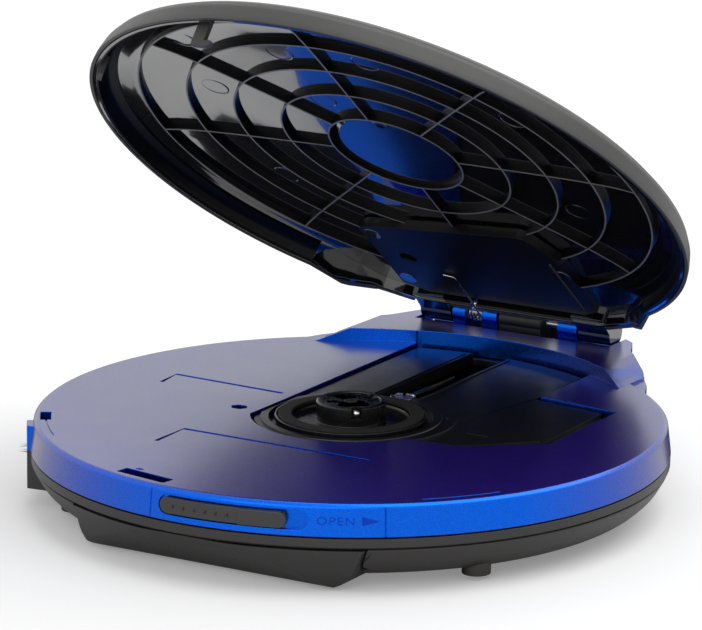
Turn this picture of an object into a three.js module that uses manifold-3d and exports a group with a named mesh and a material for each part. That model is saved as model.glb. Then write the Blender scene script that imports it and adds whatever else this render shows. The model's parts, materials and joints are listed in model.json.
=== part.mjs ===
// Portable CD player, lid open. Millimetres, +Z up, the front at -Y and the lid hinge at +Y.
// The origin is where the disc axis meets the flat underside of the bottom case.
import * as THREE from 'three';
import { mergeVertices } from 'three/addons/utils/BufferGeometryUtils.js';
import Module from 'manifold-3d';

const wasm = await Module();
wasm.setup();

// ---------------------------------------------------------------- driving dimensions

const GAP = 0.3; // clearance between pieces that touch
const SHELL_STEPS = 48; // sides of the large round shells
const SMALL_STEPS = 16; // sides of pins, bosses and small wheels

const DECK_Z = 18.2; // top face of the deck above the underside
const DECK_R = 67.5; // radius of the deck at its top edge
const BAND_R = 68.35; // radius of the coloured band at its lower edge
const BAND_H = 6.8; // height of the coloured band
const PLATE = 1.6; // thickness of the deck plate
const WALL = 1.4; // thickness of the moulded case walls

const HINGE_Y = 75; // lid hinge axis behind the disc axis
const HINGE_Z = DECK_Z + 5; // lid hinge axis above the underside
const KNUCKLE_R = 3.1;
const PIN_R = 1.0;
const LID_OPEN = 39.2; // degrees that the lid stands open in the modelled pose

const BRIDGE_R = 62.7; // inner wall of the raised rear bridge
const BRIDGE_H = 2.9; // height of the bridge above the deck

const SIDE_X = -69.5; // flat jack panel on the left
const SIDE_FRONT = -17;
const SIDE_REAR = 22;
const SIDE_LOW = DECK_Z - 15.3; // lower edge of the jack panel

const BAY = { x0: -27, x1: 29.5, y0: -55.5, y1: -26, roof: DECK_Z - 2.6 }; // two AA cells
const DOOR_TOP = DECK_Z - 9.7;
const DOOR_LOW = DECK_Z - 18.6;
const FOOT_Z = -0.8; // what the player stands on
const FOOT_STEP = 0.4; // the case steps up here around the flat middle of the underside

const FLANGE_R = 16.3; // turntable
const HUB_R = 7.35; // passes the 15 mm hole of a disc
const HUB_TOP = DECK_Z + 3.4;
const BALL_R = 0.8;

const CHASSIS_TOP = DECK_Z - 1.9;
const CHASSIS_T = 1.4;
const ISLAND_TOP = DECK_Z - 0.6; // raised part of the chassis seen in the deck opening
const SLOT_X = 4.6; // half width of the pickup slot
const LENS_Y = 22; // lens at the innermost track
const ROD_Z = DECK_Z - 7.2;

const RACK_X = 15; // pitch line of the sled's rack
const RACK_MODULE = 0.8;
const DRIVE_TEETH = 10; // small gear on the rack
const WHEEL_TEETH = 30; // large gear on the same shaft
const WHEEL_MODULE = 0.6;
const PINION_TEETH = 8; // on the sled motor
const GEAR_Y = 24;

const SLIDER_FROM = -3.8; // degrees from the front towards +X
const SLIDER_TO = 19.7;
const SLIDER_TRAVEL = 3.3;

const RING_RADII = [15.2, 26.1, 36.5, 47.3, 58.0]; // ribs inside the lid
const RIB = 0.6;
const RADIAL_RIBS = 8;

// ---------------------------------------------------------------- colours

const finish = (color, roughness, metalness = 0) => () =>
  new THREE.MeshStandardMaterial({ color, roughness, metalness });

const BLUE = finish(0x2b3fd0, 0.32, 0.5);
const CASE_BLACK = finish(0x3a3937, 0.5);
const LID_GREY = finish(0x56524f, 0.42);
const GLOSS_BLACK = finish(0x0b0b0d, 0.12);
const SATIN_BLACK = finish(0x16161a, 0.4);
const KNOB_GREY = finish(0x3b3a3c, 0.55);
const STEEL = finish(0xc6c7c9, 0.28, 1);
const RUBBER = finish(0x1a1a1a, 0.85);
const BOARD_GREEN = finish(0x1d5a3a, 0.6);
const GEAR_WHITE = finish(0xd9d6cb, 0.5);
const LENS_GLASS = finish(0x8fa6d8, 0.05);
const LCD_GREY = finish(0x8f9a86, 0.3);

// ---------------------------------------------------------------- solids

const rad = THREE.MathUtils.degToRad;

/** A closed geometry as a manifold solid, turned the right way out. */
function solid(geometry) {
  const bare = geometry.clone();
  bare.deleteAttribute('normal');
  bare.deleteAttribute('uv');
  const merged = mergeVertices(bare, 1e-4);
  const position = merged.getAttribute('position');
  const index = merged.getIndex().array;
  const corners = [0, 1, 2].map(() => new THREE.Vector3());
  const faces = [];
  let volume = 0;
  for (let i = 0; i < index.length; i += 3) {
    const [a, b, c] = [index[i], index[i + 1], index[i + 2]];
    if (a === b || b === c || c === a) continue;
    faces.push([a, b, c]);
    [a, b, c].forEach((v, k) => corners[k].fromBufferAttribute(position, v));
    volume += corners[0].dot(corners[1].clone().cross(corners[2]));
  }
  const ordered = volume < 0 ? faces.map(([a, b, c]) => [a, c, b]) : faces;
  const mesh = new wasm.Mesh({
    numProp: 3,
    vertProperties: new Float32Array(position.array),
    triVerts: new Uint32Array(ordered.flat()),
  });
  return new wasm.Manifold(mesh);
}

/** The triangles of a solid as a geometry. */
function geometryOf(body) {
  const { vertProperties, triVerts } = body.getMesh();
  const geometry = new THREE.BufferGeometry();
  geometry.setAttribute('position', new THREE.BufferAttribute(new Float32Array(vertProperties), 3));
  geometry.setIndex(new THREE.BufferAttribute(new Uint32Array(triVerts), 1));
  const flat = geometry.toNonIndexed();
  flat.computeVertexNormals();
  return flat;
}

const join = (first, ...rest) => rest.reduce((sum, next) => sum.add(next), first);
const cut = (body, ...tools) => tools.reduce((left, tool) => left.subtract(tool), body);

/** A box between two corners. */
function block(x0, x1, y0, y1, z0, z1) {
  const geometry = new THREE.BoxGeometry(x1 - x0, y1 - y0, z1 - z0);
  geometry.translate((x0 + x1) / 2, (y0 + y1) / 2, (z0 + z1) / 2);
  return solid(geometry);
}

/** An outline [[x, y], ...] pulled up from z0 to z1. */
function prism(outline, z0, z1) {
  const shape = new THREE.Shape(outline.map(([x, y]) => new THREE.Vector2(x, y)));
  const geometry = new THREE.ExtrudeGeometry(shape, { depth: z1 - z0, bevelEnabled: false });
  geometry.translate(0, 0, z0);
  return solid(geometry);
}

/** An outline [[x, z], ...] pulled along Y from y0 to y1. */
function prismY(outline, y0, y1) {
  const shape = new THREE.Shape(outline.map(([x, z]) => new THREE.Vector2(x, z)));
  const geometry = new THREE.ExtrudeGeometry(shape, { depth: y1 - y0, bevelEnabled: false });
  geometry.rotateX(Math.PI / 2);
  geometry.translate(0, y1, 0);
  return solid(geometry);
}

/** An outline [[y, z], ...] pulled along X from x0 to x1. */
function prismX(outline, x0, x1) {
  const shape = new THREE.Shape(outline.map(([y, z]) => new THREE.Vector2(y, z)));
  const geometry = new THREE.ExtrudeGeometry(shape, { depth: x1 - x0, bevelEnabled: false });
  geometry.rotateX(Math.PI / 2);
  geometry.rotateZ(Math.PI / 2);
  geometry.translate(x0, 0, 0);
  return solid(geometry);
}

/** A profile [[r, z], ...] turned about the Z axis through (x, y). */
function turned(profile, { x = 0, y = 0, steps = SMALL_STEPS } = {}) {
  const points = profile.map(([r, z]) => new THREE.Vector2(r, z));
  const [first] = points;
  const closed = first.x > 0 ? [...points, first.clone()] : points;
  const geometry = new THREE.LatheGeometry(closed, steps);
  geometry.rotateX(Math.PI / 2);
  geometry.translate(x, y, 0);
  return solid(geometry);
}

/** An upright cylinder. */
function disc(r, z0, z1, { x = 0, y = 0, steps = SMALL_STEPS } = {}) {
  return turned([[0, z0], [r, z0], [r, z1], [0, z1]], { x, y, steps });
}

/** An upright ring. */
function ring(inner, outer, z0, z1, { x = 0, y = 0, steps = SMALL_STEPS } = {}) {
  return turned([[inner, z0], [outer, z0], [outer, z1], [inner, z1]], { x, y, steps });
}

/** A cylinder lying along X. */
function barX(r, x0, x1, y, z, steps = SMALL_STEPS) {
  const geometry = new THREE.CylinderGeometry(r, r, x1 - x0, steps);
  geometry.rotateZ(Math.PI / 2);
  geometry.translate((x0 + x1) / 2, y, z);
  return solid(geometry);
}

/** A cylinder lying along Y. */
function barY(r, x, y0, y1, z, steps = SMALL_STEPS) {
  const geometry = new THREE.CylinderGeometry(r, r, y1 - y0, steps);
  geometry.translate(x, (y0 + y1) / 2, z);
  return solid(geometry);
}

/** A point at radius r, at an angle in degrees from the front (-Y) towards +X. */
const polar = (r, angle) => [r * Math.sin(rad(angle)), -r * Math.cos(rad(angle))];

/** Part of a ring between two angles from the front. */
function sector(inner, outer, from, to, z0, z1) {
  const steps = Math.max(2, Math.ceil((to - from) / 4));
  const angles = Array.from({ length: steps + 1 }, (_, i) => from + ((to - from) * i) / steps);
  const outline = [
    ...angles.map((angle) => polar(outer, angle)),
    ...angles.reverse().map((angle) => polar(inner, angle)),
  ];
  return prism(outline, z0, z1);
}

/** An outline mirrored about the YZ plane and closed. */
const mirrored = (half) => [...half, ...half.map(([x, y]) => [-x, y]).reverse()];

/** A helix of round wire, closed by its flat ends, about the X axis. */
function coilX(radius, wire, x0, x1, turns, y, z) {
  class Helix extends THREE.Curve {
    getPoint(t, target = new THREE.Vector3()) {
      const angle = 2 * Math.PI * turns * t;
      return target.set(x0 + (x1 - x0) * t, y + radius * Math.cos(angle), z + radius * Math.sin(angle));
    }
  }
  const section = new THREE.Shape();
  section.absarc(0, 0, wire, 0, 2 * Math.PI, false);
  const options = { steps: turns * 9, curveSegments: 3, extrudePath: new Helix(), bevelEnabled: false };
  return solid(new THREE.ExtrudeGeometry(section, options));
}

/** Toothed outline about the origin, with straight flanks thin enough to keep backlash. */
function gearOutline(teeth, module, phase = 0) {
  const pitch = (module * teeth) / 2;
  const tooth = 360 / teeth;
  const corners = [
    [pitch - 1.0 * module, -0.3],
    [pitch + 0.7 * module, -0.12],
    [pitch + 0.7 * module, 0.12],
    [pitch - 1.0 * module, 0.3],
  ];
  const points = [];
  for (let i = 0; i < teeth; i += 1) {
    for (const [r, offset] of corners) {
      const angle = rad(phase + (i + offset) * tooth);
      points.push([r * Math.cos(angle), r * Math.sin(angle)]);
    }
  }
  return points;
}

const player = new THREE.Group();
const lid = new THREE.Group();
lid.position.set(0, HINGE_Y, HINGE_Z);
lid.rotation.x = -rad(LID_OPEN);
player.add(lid);

/** Adds a solid to the model as a named mesh. */
function add(name, body, material) {
  const mesh = new THREE.Mesh(geometryOf(body), material());
  mesh.name = name;
  player.add(mesh);
}

/** Adds a solid drawn with the lid shut; the group turns it open about the hinge. */
function addToLid(name, body, material) {
  const mesh = new THREE.Mesh(geometryOf(body), material());
  mesh.name = name;
  mesh.position.set(0, -HINGE_Y, -HINGE_Z);
  lid.add(mesh);
}

// ---------------------------------------------------------------- shared outlines

const REAR_HOUSING = mirrored([
  [-24, 79.3], [-27.5, 77], [-31, 69.5], [-37.2, 63.5], [-41.5, 57], [-45.5, 48],
]);
const REAR_INSIDE = mirrored([[-23, 77.6], [-26, 76], [-29.5, 68.5], [-33, 63], [-33, 48]]);
const BRIDGE_TOP_X = 32.3; // half width of the bridge on top
const BRIDGE_FOOT_X = 38.7; // and where its sloping ends meet the deck

/** The bridge's space, grown by a clearance. */
function bridgeSpace(clearance, z0) {
  const top = DECK_Z + BRIDGE_H + clearance;
  const wide = BRIDGE_FOOT_X + clearance;
  const narrow = BRIDGE_TOP_X + clearance;
  const section = [
    [-wide, z0], [wide, z0], [wide, DECK_Z], [narrow, top], [-narrow, top], [-wide, DECK_Z],
  ];
  const ends = prismY(section, 40, 90);
  return cut(ends, disc(BRIDGE_R - clearance, z0 - 1, top + 1, { steps: SHELL_STEPS }));
}

const LID_CHIN = mirrored([[-25, 69.8], [-33, 66.2], [-37.5, 61.2], [-44, 50.5]]);

const OPENING = (() => {
  const arc = [];
  for (let angle = 64; angle >= -60; angle -= 12.4) arc.push(polar(21.5, angle));
  const rear = [];
  for (let angle = -163; angle >= -206; angle -= 7.2) rear.push(polar(61.9, angle));
  return [[45.2, 4], [31.3, -9.4], ...arc, [-18.5, 0], ...rear, [27.1, 34.6], [44.5, 32.2]];
})();

/** The opening drawn in by a margin on every side, as a solid. */
function insideOpening(margin, z0, z1) {
  const whole = prism(OPENING, z0, z1);
  const shifts = [0, 60, 120, 180, 240, 300].map((angle) => polar(margin, angle));
  return shifts.reduce((left, [x, y]) => left.intersect(whole.translate([x, y, 0])), whole);
}

// ---------------------------------------------------------------- deck and case

/** Walls of the jack panel between two heights. */
function sidePanel(z0, z1, trim) {
  return block(SIDE_X + trim, -60, SIDE_FRONT + trim, SIDE_REAR - trim, z0, z1);
}

const LATCH_SLOT = (() => {
  const [x, y] = polar(63.6, -9.6);
  const geometry = new THREE.BoxGeometry(14, 3.2, 10);
  geometry.rotateZ(rad(-9.6));
  geometry.translate(x, y, DECK_Z);
  return solid(geometry);
})();

const DECK_HOLE = [-23.5, -7.4];
const LUGS = [[-16, -12.8], [-8.5, -4.6], [11, 15.9]]; // fixed hinge lugs along X

function topDeck() {
  const low = DECK_Z - BAND_H;
  let deck = turned([
    [0, DECK_Z - PLATE], [65.4, DECK_Z - PLATE], [65.8, DECK_Z - 2.4], [66.3, low],
    [BAND_R, low], [DECK_R + 0.1, DECK_Z - 0.7], [DECK_R - 0.7, DECK_Z], [0, DECK_Z],
  ], { steps: SHELL_STEPS });
  deck = join(deck, sidePanel(low, DECK_Z, 0));
  deck = cut(deck, sidePanel(low - 1, DECK_Z - PLATE, WALL));
  const housing = cut(prism(REAR_HOUSING, low, DECK_Z - 0.5), disc(65.6, 0, 40, { steps: SHELL_STEPS }));
  const bridge = bridgeSpace(0, DECK_Z - PLATE).intersect(prism(REAR_HOUSING, DECK_Z - PLATE, DECK_Z + 5));
  deck = join(deck, housing, bridge);
  deck = cut(deck, prism(REAR_INSIDE, low - 1, DECK_Z - PLATE));
  deck = cut(deck, block(-24.8, 24.8, 70.3, 90, DECK_Z + 0.6, DECK_Z + 9));
  for (const [x0, x1] of LUGS) {
    deck = join(deck, barX(KNUCKLE_R, x0, x1, HINGE_Y, HINGE_Z));
    deck = join(deck, block(x0, x1, HINGE_Y - 2.6, HINGE_Y + 2.6, DECK_Z, HINGE_Z - 1));
  }
  deck = cut(deck, barX(PIN_R + GAP, -17, 17, HINGE_Y, HINGE_Z));
  deck = cut(deck, prism(OPENING, DECK_Z - 5, DECK_Z + 0.5), LATCH_SLOT);
  deck = cut(deck, disc(0.9, DECK_Z - 5, DECK_Z + 1, { x: DECK_HOLE[0], y: DECK_HOLE[1], steps: 12 }));
  deck = cut(deck, sector(63.9, 66.2, -59.5, -54, DECK_Z - 5, DECK_Z + 1));
  const grooveEnd = SLIDER_TO + SLIDER_TRAVEL + 0.4;
  deck = cut(deck, sector(67.15, 72, SLIDER_FROM - 0.5, grooveEnd, DECK_Z - 5.5, DECK_Z - 1.5));
  deck = cut(deck, sector(64, 72, 3.2, 16.2, DECK_Z - 4.4, DECK_Z - 2.6));
  return deck;
}

const BOSSES = [[-21, -18.5], [45, 14], [-19.5, 48]]; // carry the mechanism
const SCREWS = [[-44, -40], [50, -34], [-46, 36], [42, 42]]; // join the case to the deck
const FEET = [[-37, -21], [39, -19], [-34, 34], [34, 34]];

/** Lengthwise section of the battery door and of the space that it takes. */
function doorOutline(grow) {
  return [
    [-30.7 + grow, DOOR_LOW - 1], [32.4 - grow, DOOR_LOW - 1],
    [37.6 - grow, DOOR_TOP + 0.3], [-30.7 + grow, DOOR_TOP + 0.3],
  ];
}

function bottomCase() {
  const high = DECK_Z - BAND_H - GAP;
  let shell = turned([
    [0, 0], [37, 0], [37.5, FOOT_STEP], [53, FOOT_STEP], [62.5, 2], [66, 5.2], [67.9, 8.6],
    [67.4, 8.9], [68.25, 9.3],
    [68.25, high], [66.9, high], [66.4, 8.4], [61.2, 3.2], [53, 1.6], [0, 1.6],
  ], { steps: SHELL_STEPS });
  const panel = cut(sidePanel(SIDE_LOW, high, 0), sidePanel(SIDE_LOW + WALL, high + 1, WALL));
  const inside = turned([
    [0, 1.6], [53, 1.6], [61.2, 3.2], [66.4, 8.4], [66.9, 30], [0, 30],
  ], { steps: SHELL_STEPS });
  shell = cut(join(shell, cut(panel, inside)), sidePanel(SIDE_LOW + WALL, high + 1, WALL));
  const rearSlope = prismX([[40, 3], [68, 3], [79.3, 8], [79.3, high], [40, high]], -50, 50);
  const rear = prism(REAR_HOUSING, 0, high).intersect(rearSlope);
  const rearInner = prism(REAR_INSIDE, 7, high + 1)
    .intersect(prismX([[40, 4.6], [67, 4.6], [77.6, 9.2], [77.6, 40], [40, 40]], -50, 50));
  shell = cut(join(shell, cut(rear, inside)), rearInner);
  shell = cut(shell, prismY(doorOutline(0), -90, -24.5));
  const bay = cut(
    block(BAY.x0 - WALL, BAY.x1 + WALL, BAY.y0 - 0.3, -23.9, 1.2, BAY.roof + 0.65),
    block(BAY.x0, BAY.x1, BAY.y0 - 5, BAY.y1, -5, BAY.roof));
  const gussets = join(block(-33, BAY.x0, -52, -50.5, 9.4, 15), block(BAY.x1, 38.5, -53, -51.5, 9.4, 15));
  const rim = sector(62, 67, -32, 38, 9.1, 10.4).subtract(block(-26, 28, -90, -40, 0, 20));
  shell = join(shell, bay, gussets.intersect(disc(66.8, 0, 30, { steps: SHELL_STEPS })), rim);
  for (const [x, y] of BOSSES) {
    const post = disc(3.2, 1, DECK_Z - 5.3, { x, y, steps: 12 });
    const spigot = disc(1.2, 1, DECK_Z - 2.1, { x, y, steps: 12 });
    shell = join(shell, post, spigot);
  }
  for (const [x, y] of SCREWS) {
    shell = join(shell, disc(3, 0.2, DECK_Z - 2.2, { x, y, steps: 12 }));
    const bore = disc(1.3, -1, DECK_Z - 3, { x, y, steps: 12 });
    shell = cut(shell, bore, disc(2.4, -1, 3.2, { x, y, steps: 12 }));
  }
  for (const [x, y] of FEET) shell = cut(shell, disc(4.3, -1, 0.8, { x, y }));
  return cut(shell, ...panelCuts());
}

const JACK_Z = DECK_Z - 9.6;
const HEADPHONE_Y = -4;
const DC_Y = -12;
const VOLUME = { x: -63.4, y: 7, r: 7.1, z0: DECK_Z - 10.6, z1: DECK_Z - 8.6 };
const HOLD = { y0: 14.4, y1: 17, travel: 2.6 };

/** Openings of the jack panel. */
function panelCuts() {
  return [
    barX(2.2, -72, -67, HEADPHONE_Y, JACK_Z),
    barX(2.9, -72, -67, DC_Y, JACK_Z),
    block(-72, -67, 1.3, 12.7, VOLUME.z0 - 0.5, VOLUME.z1 + 0.5),
    block(-72, -67, HOLD.y0 - GAP, HOLD.y1 + HOLD.travel + GAP, JACK_Z - 1, JACK_Z + 1),
  ];
}

function batteryDoor() {
  const cone = (shrink) => turned([
    [0, DOOR_LOW - 2], [64.6 - shrink, DOOR_LOW - 2], [65 - shrink, DOOR_LOW],
    [68.05 - shrink, DOOR_TOP + 0.1], [68.05 - shrink, DOOR_TOP + 4], [0, DOOR_TOP + 4],
  ], { steps: SHELL_STEPS });
  const slope = (shrink) => prismX([
    [-24.8, DOOR_LOW - 2], [-57.6 + shrink, DOOR_LOW - 2], [-57.6 + shrink, DOOR_LOW],
    [-66.6 + shrink, DOOR_LOW + 7.5], [-69 + shrink, DOOR_TOP + 4], [-24.8, DOOR_TOP + 4],
  ], -50, 50);
  const outer = prismY(doorOutline(GAP), -75, -24.8).intersect(cone(0)).intersect(slope(0));
  const inner = prismY(doorOutline(WALL + 0.3), -75, -20).intersect(cone(WALL)).intersect(slope(WALL));
  const kept = block(-60, 60, -90, 0, DOOR_LOW, DOOR_TOP);
  return cut(outer.intersect(kept), inner.intersect(block(-60, 60, -90, 0, DOOR_LOW + 1.2, DOOR_TOP + 9)));
}

// ---------------------------------------------------------------- disc mechanism

const NOTCHES = [40, 160, 280];

/** A radial box from one radius to another at an angle from the front. */
function radialBlock(r0, r1, width, z0, z1, angle) {
  const geometry = new THREE.BoxGeometry(width, r1 - r0, z1 - z0);
  geometry.translate(0, -(r0 + r1) / 2, (z0 + z1) / 2);
  geometry.rotateZ(rad(angle));
  return solid(geometry);
}

function turntable() {
  let body = turned([
    [0, DECK_Z - 3.4], [3.2, DECK_Z - 3.4], [3.2, DECK_Z - 1.2], [FLANGE_R - 0.4, DECK_Z - 1.2],
    [FLANGE_R, DECK_Z - 0.8], [FLANGE_R, DECK_Z + 0.2], [15.9, DECK_Z + 0.2], [15.9, DECK_Z - 0.5],
    [12.4, DECK_Z - 0.5], [12.4, DECK_Z - 0.1], [HUB_R, DECK_Z - 0.1], [HUB_R, HUB_TOP - 0.9],
    [HUB_R - 0.9, HUB_TOP], [0, HUB_TOP],
  ], { steps: 36 });
  for (const angle of NOTCHES) {
    body = cut(body, radialBlock(5.1, 9, 2.2, DECK_Z + 0.9, HUB_TOP + 1, angle));
  }
  return cut(body, disc(PIN_R + GAP, DECK_Z - 5, DECK_Z + 1));
}

const RODS = { main: -10.5, sub: 9.5 };
const GEAR_X = RACK_X + (DRIVE_TEETH * RACK_MODULE) / 2;
const MOTOR_ANGLE = -30; // sled motor seen from the drive gear
const MOTOR_REACH = ((WHEEL_TEETH + PINION_TEETH) * WHEEL_MODULE) / 2;
const SLED_MOTOR = [
  GEAR_X + MOTOR_REACH * Math.cos(rad(MOTOR_ANGLE)),
  GEAR_Y + MOTOR_REACH * Math.sin(rad(MOTOR_ANGLE)),
];

function chassis() {
  const low = CHASSIS_TOP - CHASSIS_T;
  const plate = prism([
    [-24.5, -22.6], [26, -22.6], [38, -14], [50, -4], [50, 28], [36, 42], [28, 54], [20, 60.5],
    [12, 63.5], [-14, 63.5], [-24.5, 57],
  ], low, CHASSIS_TOP);
  const island = insideOpening(0.8, CHASSIS_TOP - 0.5, ISLAND_TOP);
  const wellRim = ring(17.6, 19.4, CHASSIS_TOP - 0.5, ISLAND_TOP + 0.3, { steps: 36 })
    .intersect(insideOpening(0.5, CHASSIS_TOP - 1, DECK_Z));
  let body = join(plate, island, wellRim);
  body = cut(body, disc(17.6, DECK_Z - 1.6, DECK_Z + 2, { steps: 36 }));
  body = cut(body, disc(4, low - 1, DECK_Z, { steps: 24 }));
  body = cut(body, block(-SLOT_X, SLOT_X, 17.9, 61.2, low - 1, DECK_Z));
  for (const [x, y] of BOSSES) body = cut(body, disc(1.55, low - 1, DECK_Z, { x, y, steps: 12 }));
  for (const x of Object.values(RODS)) {
    body = join(body, block(x - 1.4, x + 1.4, 7.4, 8.4, ROD_Z - 1.6, low + 0.2));
    body = join(body, block(x - 1.4, x + 1.4, 62.2, 63.3, ROD_Z - 1.6, low + 0.2));
  }
  return join(body, disc(0.9, DECK_Z - 12.6, low + 0.2, { x: GEAR_X, y: GEAR_Y, steps: 12 }));
}

function pickupSled() {
  const body = block(-13, 11.8, 11.2, 27.2, DECK_Z - 9.8, DECK_Z - 4.4);
  const turret = block(-4.2, 4.2, LENS_Y - 4, LENS_Y + 4.6, DECK_Z - 5, DECK_Z - 1.7);
  const pitch = Math.PI * RACK_MODULE;
  const root = RACK_X - 1.0 * RACK_MODULE;
  const tip = RACK_X + 0.7 * RACK_MODULE;
  const teeth = 15;
  const back = 11.3;
  const outline = [[back, GEAR_Y - teeth * pitch], [root, GEAR_Y - teeth * pitch]];
  for (let i = 0; i < teeth; i += 1) {
    const y = GEAR_Y + (i + 0.5 - teeth) * pitch;
    outline.push([root, y - 0.3 * pitch], [tip, y - 0.12 * pitch]);
    outline.push([tip, y + 0.12 * pitch], [root, y + 0.3 * pitch]);
  }
  outline.push([12.6, GEAR_Y + 0.8], [back, GEAR_Y + 0.8]);
  const rack = prism(outline, DECK_Z - 8.6, DECK_Z - 6.2);
  let sled = join(body, turret, rack);
  for (const x of Object.values(RODS)) sled = cut(sled, barY(PIN_R + GAP, x, 0, 40, ROD_Z, 16));
  sled = cut(sled, disc(2.9, DECK_Z - 3.4, DECK_Z, { y: LENS_Y }));
  return sled;
}

const pickupLens = () => turned([
  [0, DECK_Z - 2.7], [2.3, DECK_Z - 2.7], [2.3, DECK_Z - 1.5], [1.7, DECK_Z - 1.3], [0, DECK_Z - 0.95],
], { y: LENS_Y });

function driveGear() {
  const small = prism(gearOutline(DRIVE_TEETH, RACK_MODULE, 180), DECK_Z - 10.2, DECK_Z - 5.6);
  const large = prism(gearOutline(WHEEL_TEETH, WHEEL_MODULE, MOTOR_ANGLE), DECK_Z - 11.6, DECK_Z - 10.2);
  return cut(join(small, large), disc(0.9 + GAP, 0, 30, { steps: 12 })).translate([GEAR_X, GEAR_Y, 0]);
}

function motorPinion() {
  const [x, y] = SLED_MOTOR;
  const halfTooth = 180 / PINION_TEETH;
  const outline = gearOutline(PINION_TEETH, WHEEL_MODULE, MOTOR_ANGLE + 180 + halfTooth);
  const teeth = prism(outline, DECK_Z - 12, DECK_Z - 9.8);
  return join(teeth, disc(0.7, DECK_Z - 10, DECK_Z - 8.2, { steps: 12 })).translate([x, y, 0]);
}

function sledMotor() {
  const [x, y] = SLED_MOTOR;
  const can = disc(6, DECK_Z - 9.4, CHASSIS_TOP - CHASSIS_T - GAP, { x, y, steps: 28 });
  return cut(can, disc(0.7 + GAP, 0, DECK_Z - 7.8, { x, y, steps: 12 }));
}

const spindleMotor = () => cut(
  turned([
    [0, DECK_Z - 9.6], [9.6, DECK_Z - 9.6], [10.5, DECK_Z - 8.9], [10.5, DECK_Z - 4.4],
    [9, DECK_Z - 3.6], [0, DECK_Z - 3.6],
  ], { steps: 36 }),
  disc(PIN_R + GAP, DECK_Z - 8.6, DECK_Z));

function hubBall(angle) {
  const geometry = new THREE.SphereGeometry(BALL_R, 12, 8);
  const [x, y] = polar(HUB_R - 0.6, angle);
  geometry.translate(x, y, DECK_Z + 2.1);
  return solid(geometry);
}

// ---------------------------------------------------------------- release slider

function openSlider() {
  const knob = sector(67.45, 68.95, SLIDER_FROM, SLIDER_TO, DECK_Z - 5.15, DECK_Z - 1.85);
  const stem = sector(65.2, 68, 4, 12, DECK_Z - 4.1, DECK_Z - 2.9);
  return join(knob, stem);
}

function latchCatch() {
  const carriage = sector(62.2, 64.9, -9.2, 12, DECK_Z - 4.3, DECK_Z - 2.9);
  const tongue = sector(62.4, 64.4, -11.6, -8.2, DECK_Z - 2.55, DECK_Z - 1.95);
  const riser = sector(62.4, 64.4, -9.2, -8.2, DECK_Z - 4.2, DECK_Z - 2);
  return join(carriage, tongue, riser);
}

// ---------------------------------------------------------------- jack panel and board

const MAIN_BOARD_TOP = DECK_Z - 12.5;

function mainBoard() {
  const outline = [
    [-66.5, -15], [-60, -15], [-56, -22], [-25, -22], [-25, 44], [-42, 44], [-56, 18], [-66.5, 16.5],
  ];
  const plate = prism(outline, MAIN_BOARD_TOP - 1, MAIN_BOARD_TOP);
  const clear = SCREWS.map(([x, y]) => disc(3.4, 0, 30, { x, y, steps: 12 }));
  return cut(plate, ...clear);
}

const headphoneJack = () => cut(
  join(
    block(-66.6, -55, HEADPHONE_Y - 3.2, HEADPHONE_Y + 3.2, MAIN_BOARD_TOP + GAP, DECK_Z - 7.3),
    barX(1.9, -68.6, -60, HEADPHONE_Y, JACK_Z)),
  barX(1.75, -70, -57, HEADPHONE_Y, JACK_Z).subtract(barX(1.75, -70, -67.2, HEADPHONE_Y, JACK_Z)),
  barX(1.4, -70, -66, HEADPHONE_Y, JACK_Z));

const dcJack = () => join(
  cut(
    block(-67.6, -57, DC_Y - 2.95, DC_Y + 4.2, MAIN_BOARD_TOP + GAP, DECK_Z - 7.3),
    barX(2.2, -70, -59, DC_Y, JACK_Z)),
  barX(0.7, -67.2, -58, DC_Y, JACK_Z, 12));

const volumeWheel = () => cut(
  prism(gearOutline(22, (2 * VOLUME.r) / 23.4), VOLUME.z0, VOLUME.z1),
  disc(1.3, 0, 30, { steps: 12 })).translate([VOLUME.x, VOLUME.y, 0]);

const volumePot = () => join(
  block(
    VOLUME.x - 3.4, VOLUME.x + 4.5, VOLUME.y - 3.9, VOLUME.y + 3.9,
    MAIN_BOARD_TOP + GAP, VOLUME.z0 - GAP),
  disc(1, VOLUME.z0 - 1, VOLUME.z1 + 0.4, { x: VOLUME.x, y: VOLUME.y, steps: 12 }));

const holdSwitch = () => join(
  block(-70.2, -67.4, HOLD.y0, HOLD.y1, JACK_Z - 0.7, JACK_Z + 0.7),
  block(-67.8, -66.8, HOLD.y0 - 0.5, HOLD.y1 + 0.5, JACK_Z - 1.4, JACK_Z + 1.4));

// ---------------------------------------------------------------- battery contacts

const CELL_Y = [(3 * BAY.y0 + BAY.y1) / 4, (BAY.y0 + 3 * BAY.y1) / 4];
const CELL_Z = BAY.roof - 7.4;

function plateContact(side, y0, y1) {
  const x = side < 0 ? BAY.x0 + GAP : BAY.x1 - GAP - 0.5;
  return block(x, x + 0.5, y0, y1, CELL_Z - 5, CELL_Z + 5);
}

/** A conical spring, as a stepped cone, on a contact plate. */
function springContact(side, y0, y1, y) {
  const x = side < 0 ? BAY.x0 + GAP + 0.4 : BAY.x1 - GAP - 0.4;
  const turns = [3.6, 3.0, 2.4].map((r, i) => {
    const near = x - side * i * 1.1;
    const far = x - side * (i + 1) * 1.1;
    return barX(r, Math.min(near, far), Math.max(near, far), y, CELL_Z, 16);
  });
  return join(plateContact(side, y0, y1), ...turns);
}

const buttonContact = (side, y0, y1, y) => join(
  plateContact(side, y0, y1),
  side < 0
    ? barX(1.6, BAY.x0 + 0.5, BAY.x0 + 1.6, y, CELL_Z, 16)
    : barX(1.6, BAY.x1 - 1.6, BAY.x1 - 0.5, y, CELL_Z, 16));

// ---------------------------------------------------------------- lid

const LIP = DECK_Z + GAP;
const DOME = [[0, 9.4], [42, 9.1], [54, 8.6], [60, 7.6], [64.6, 6.2], [66.1, 5.2]];
const COVER_T = 0.75;

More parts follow.
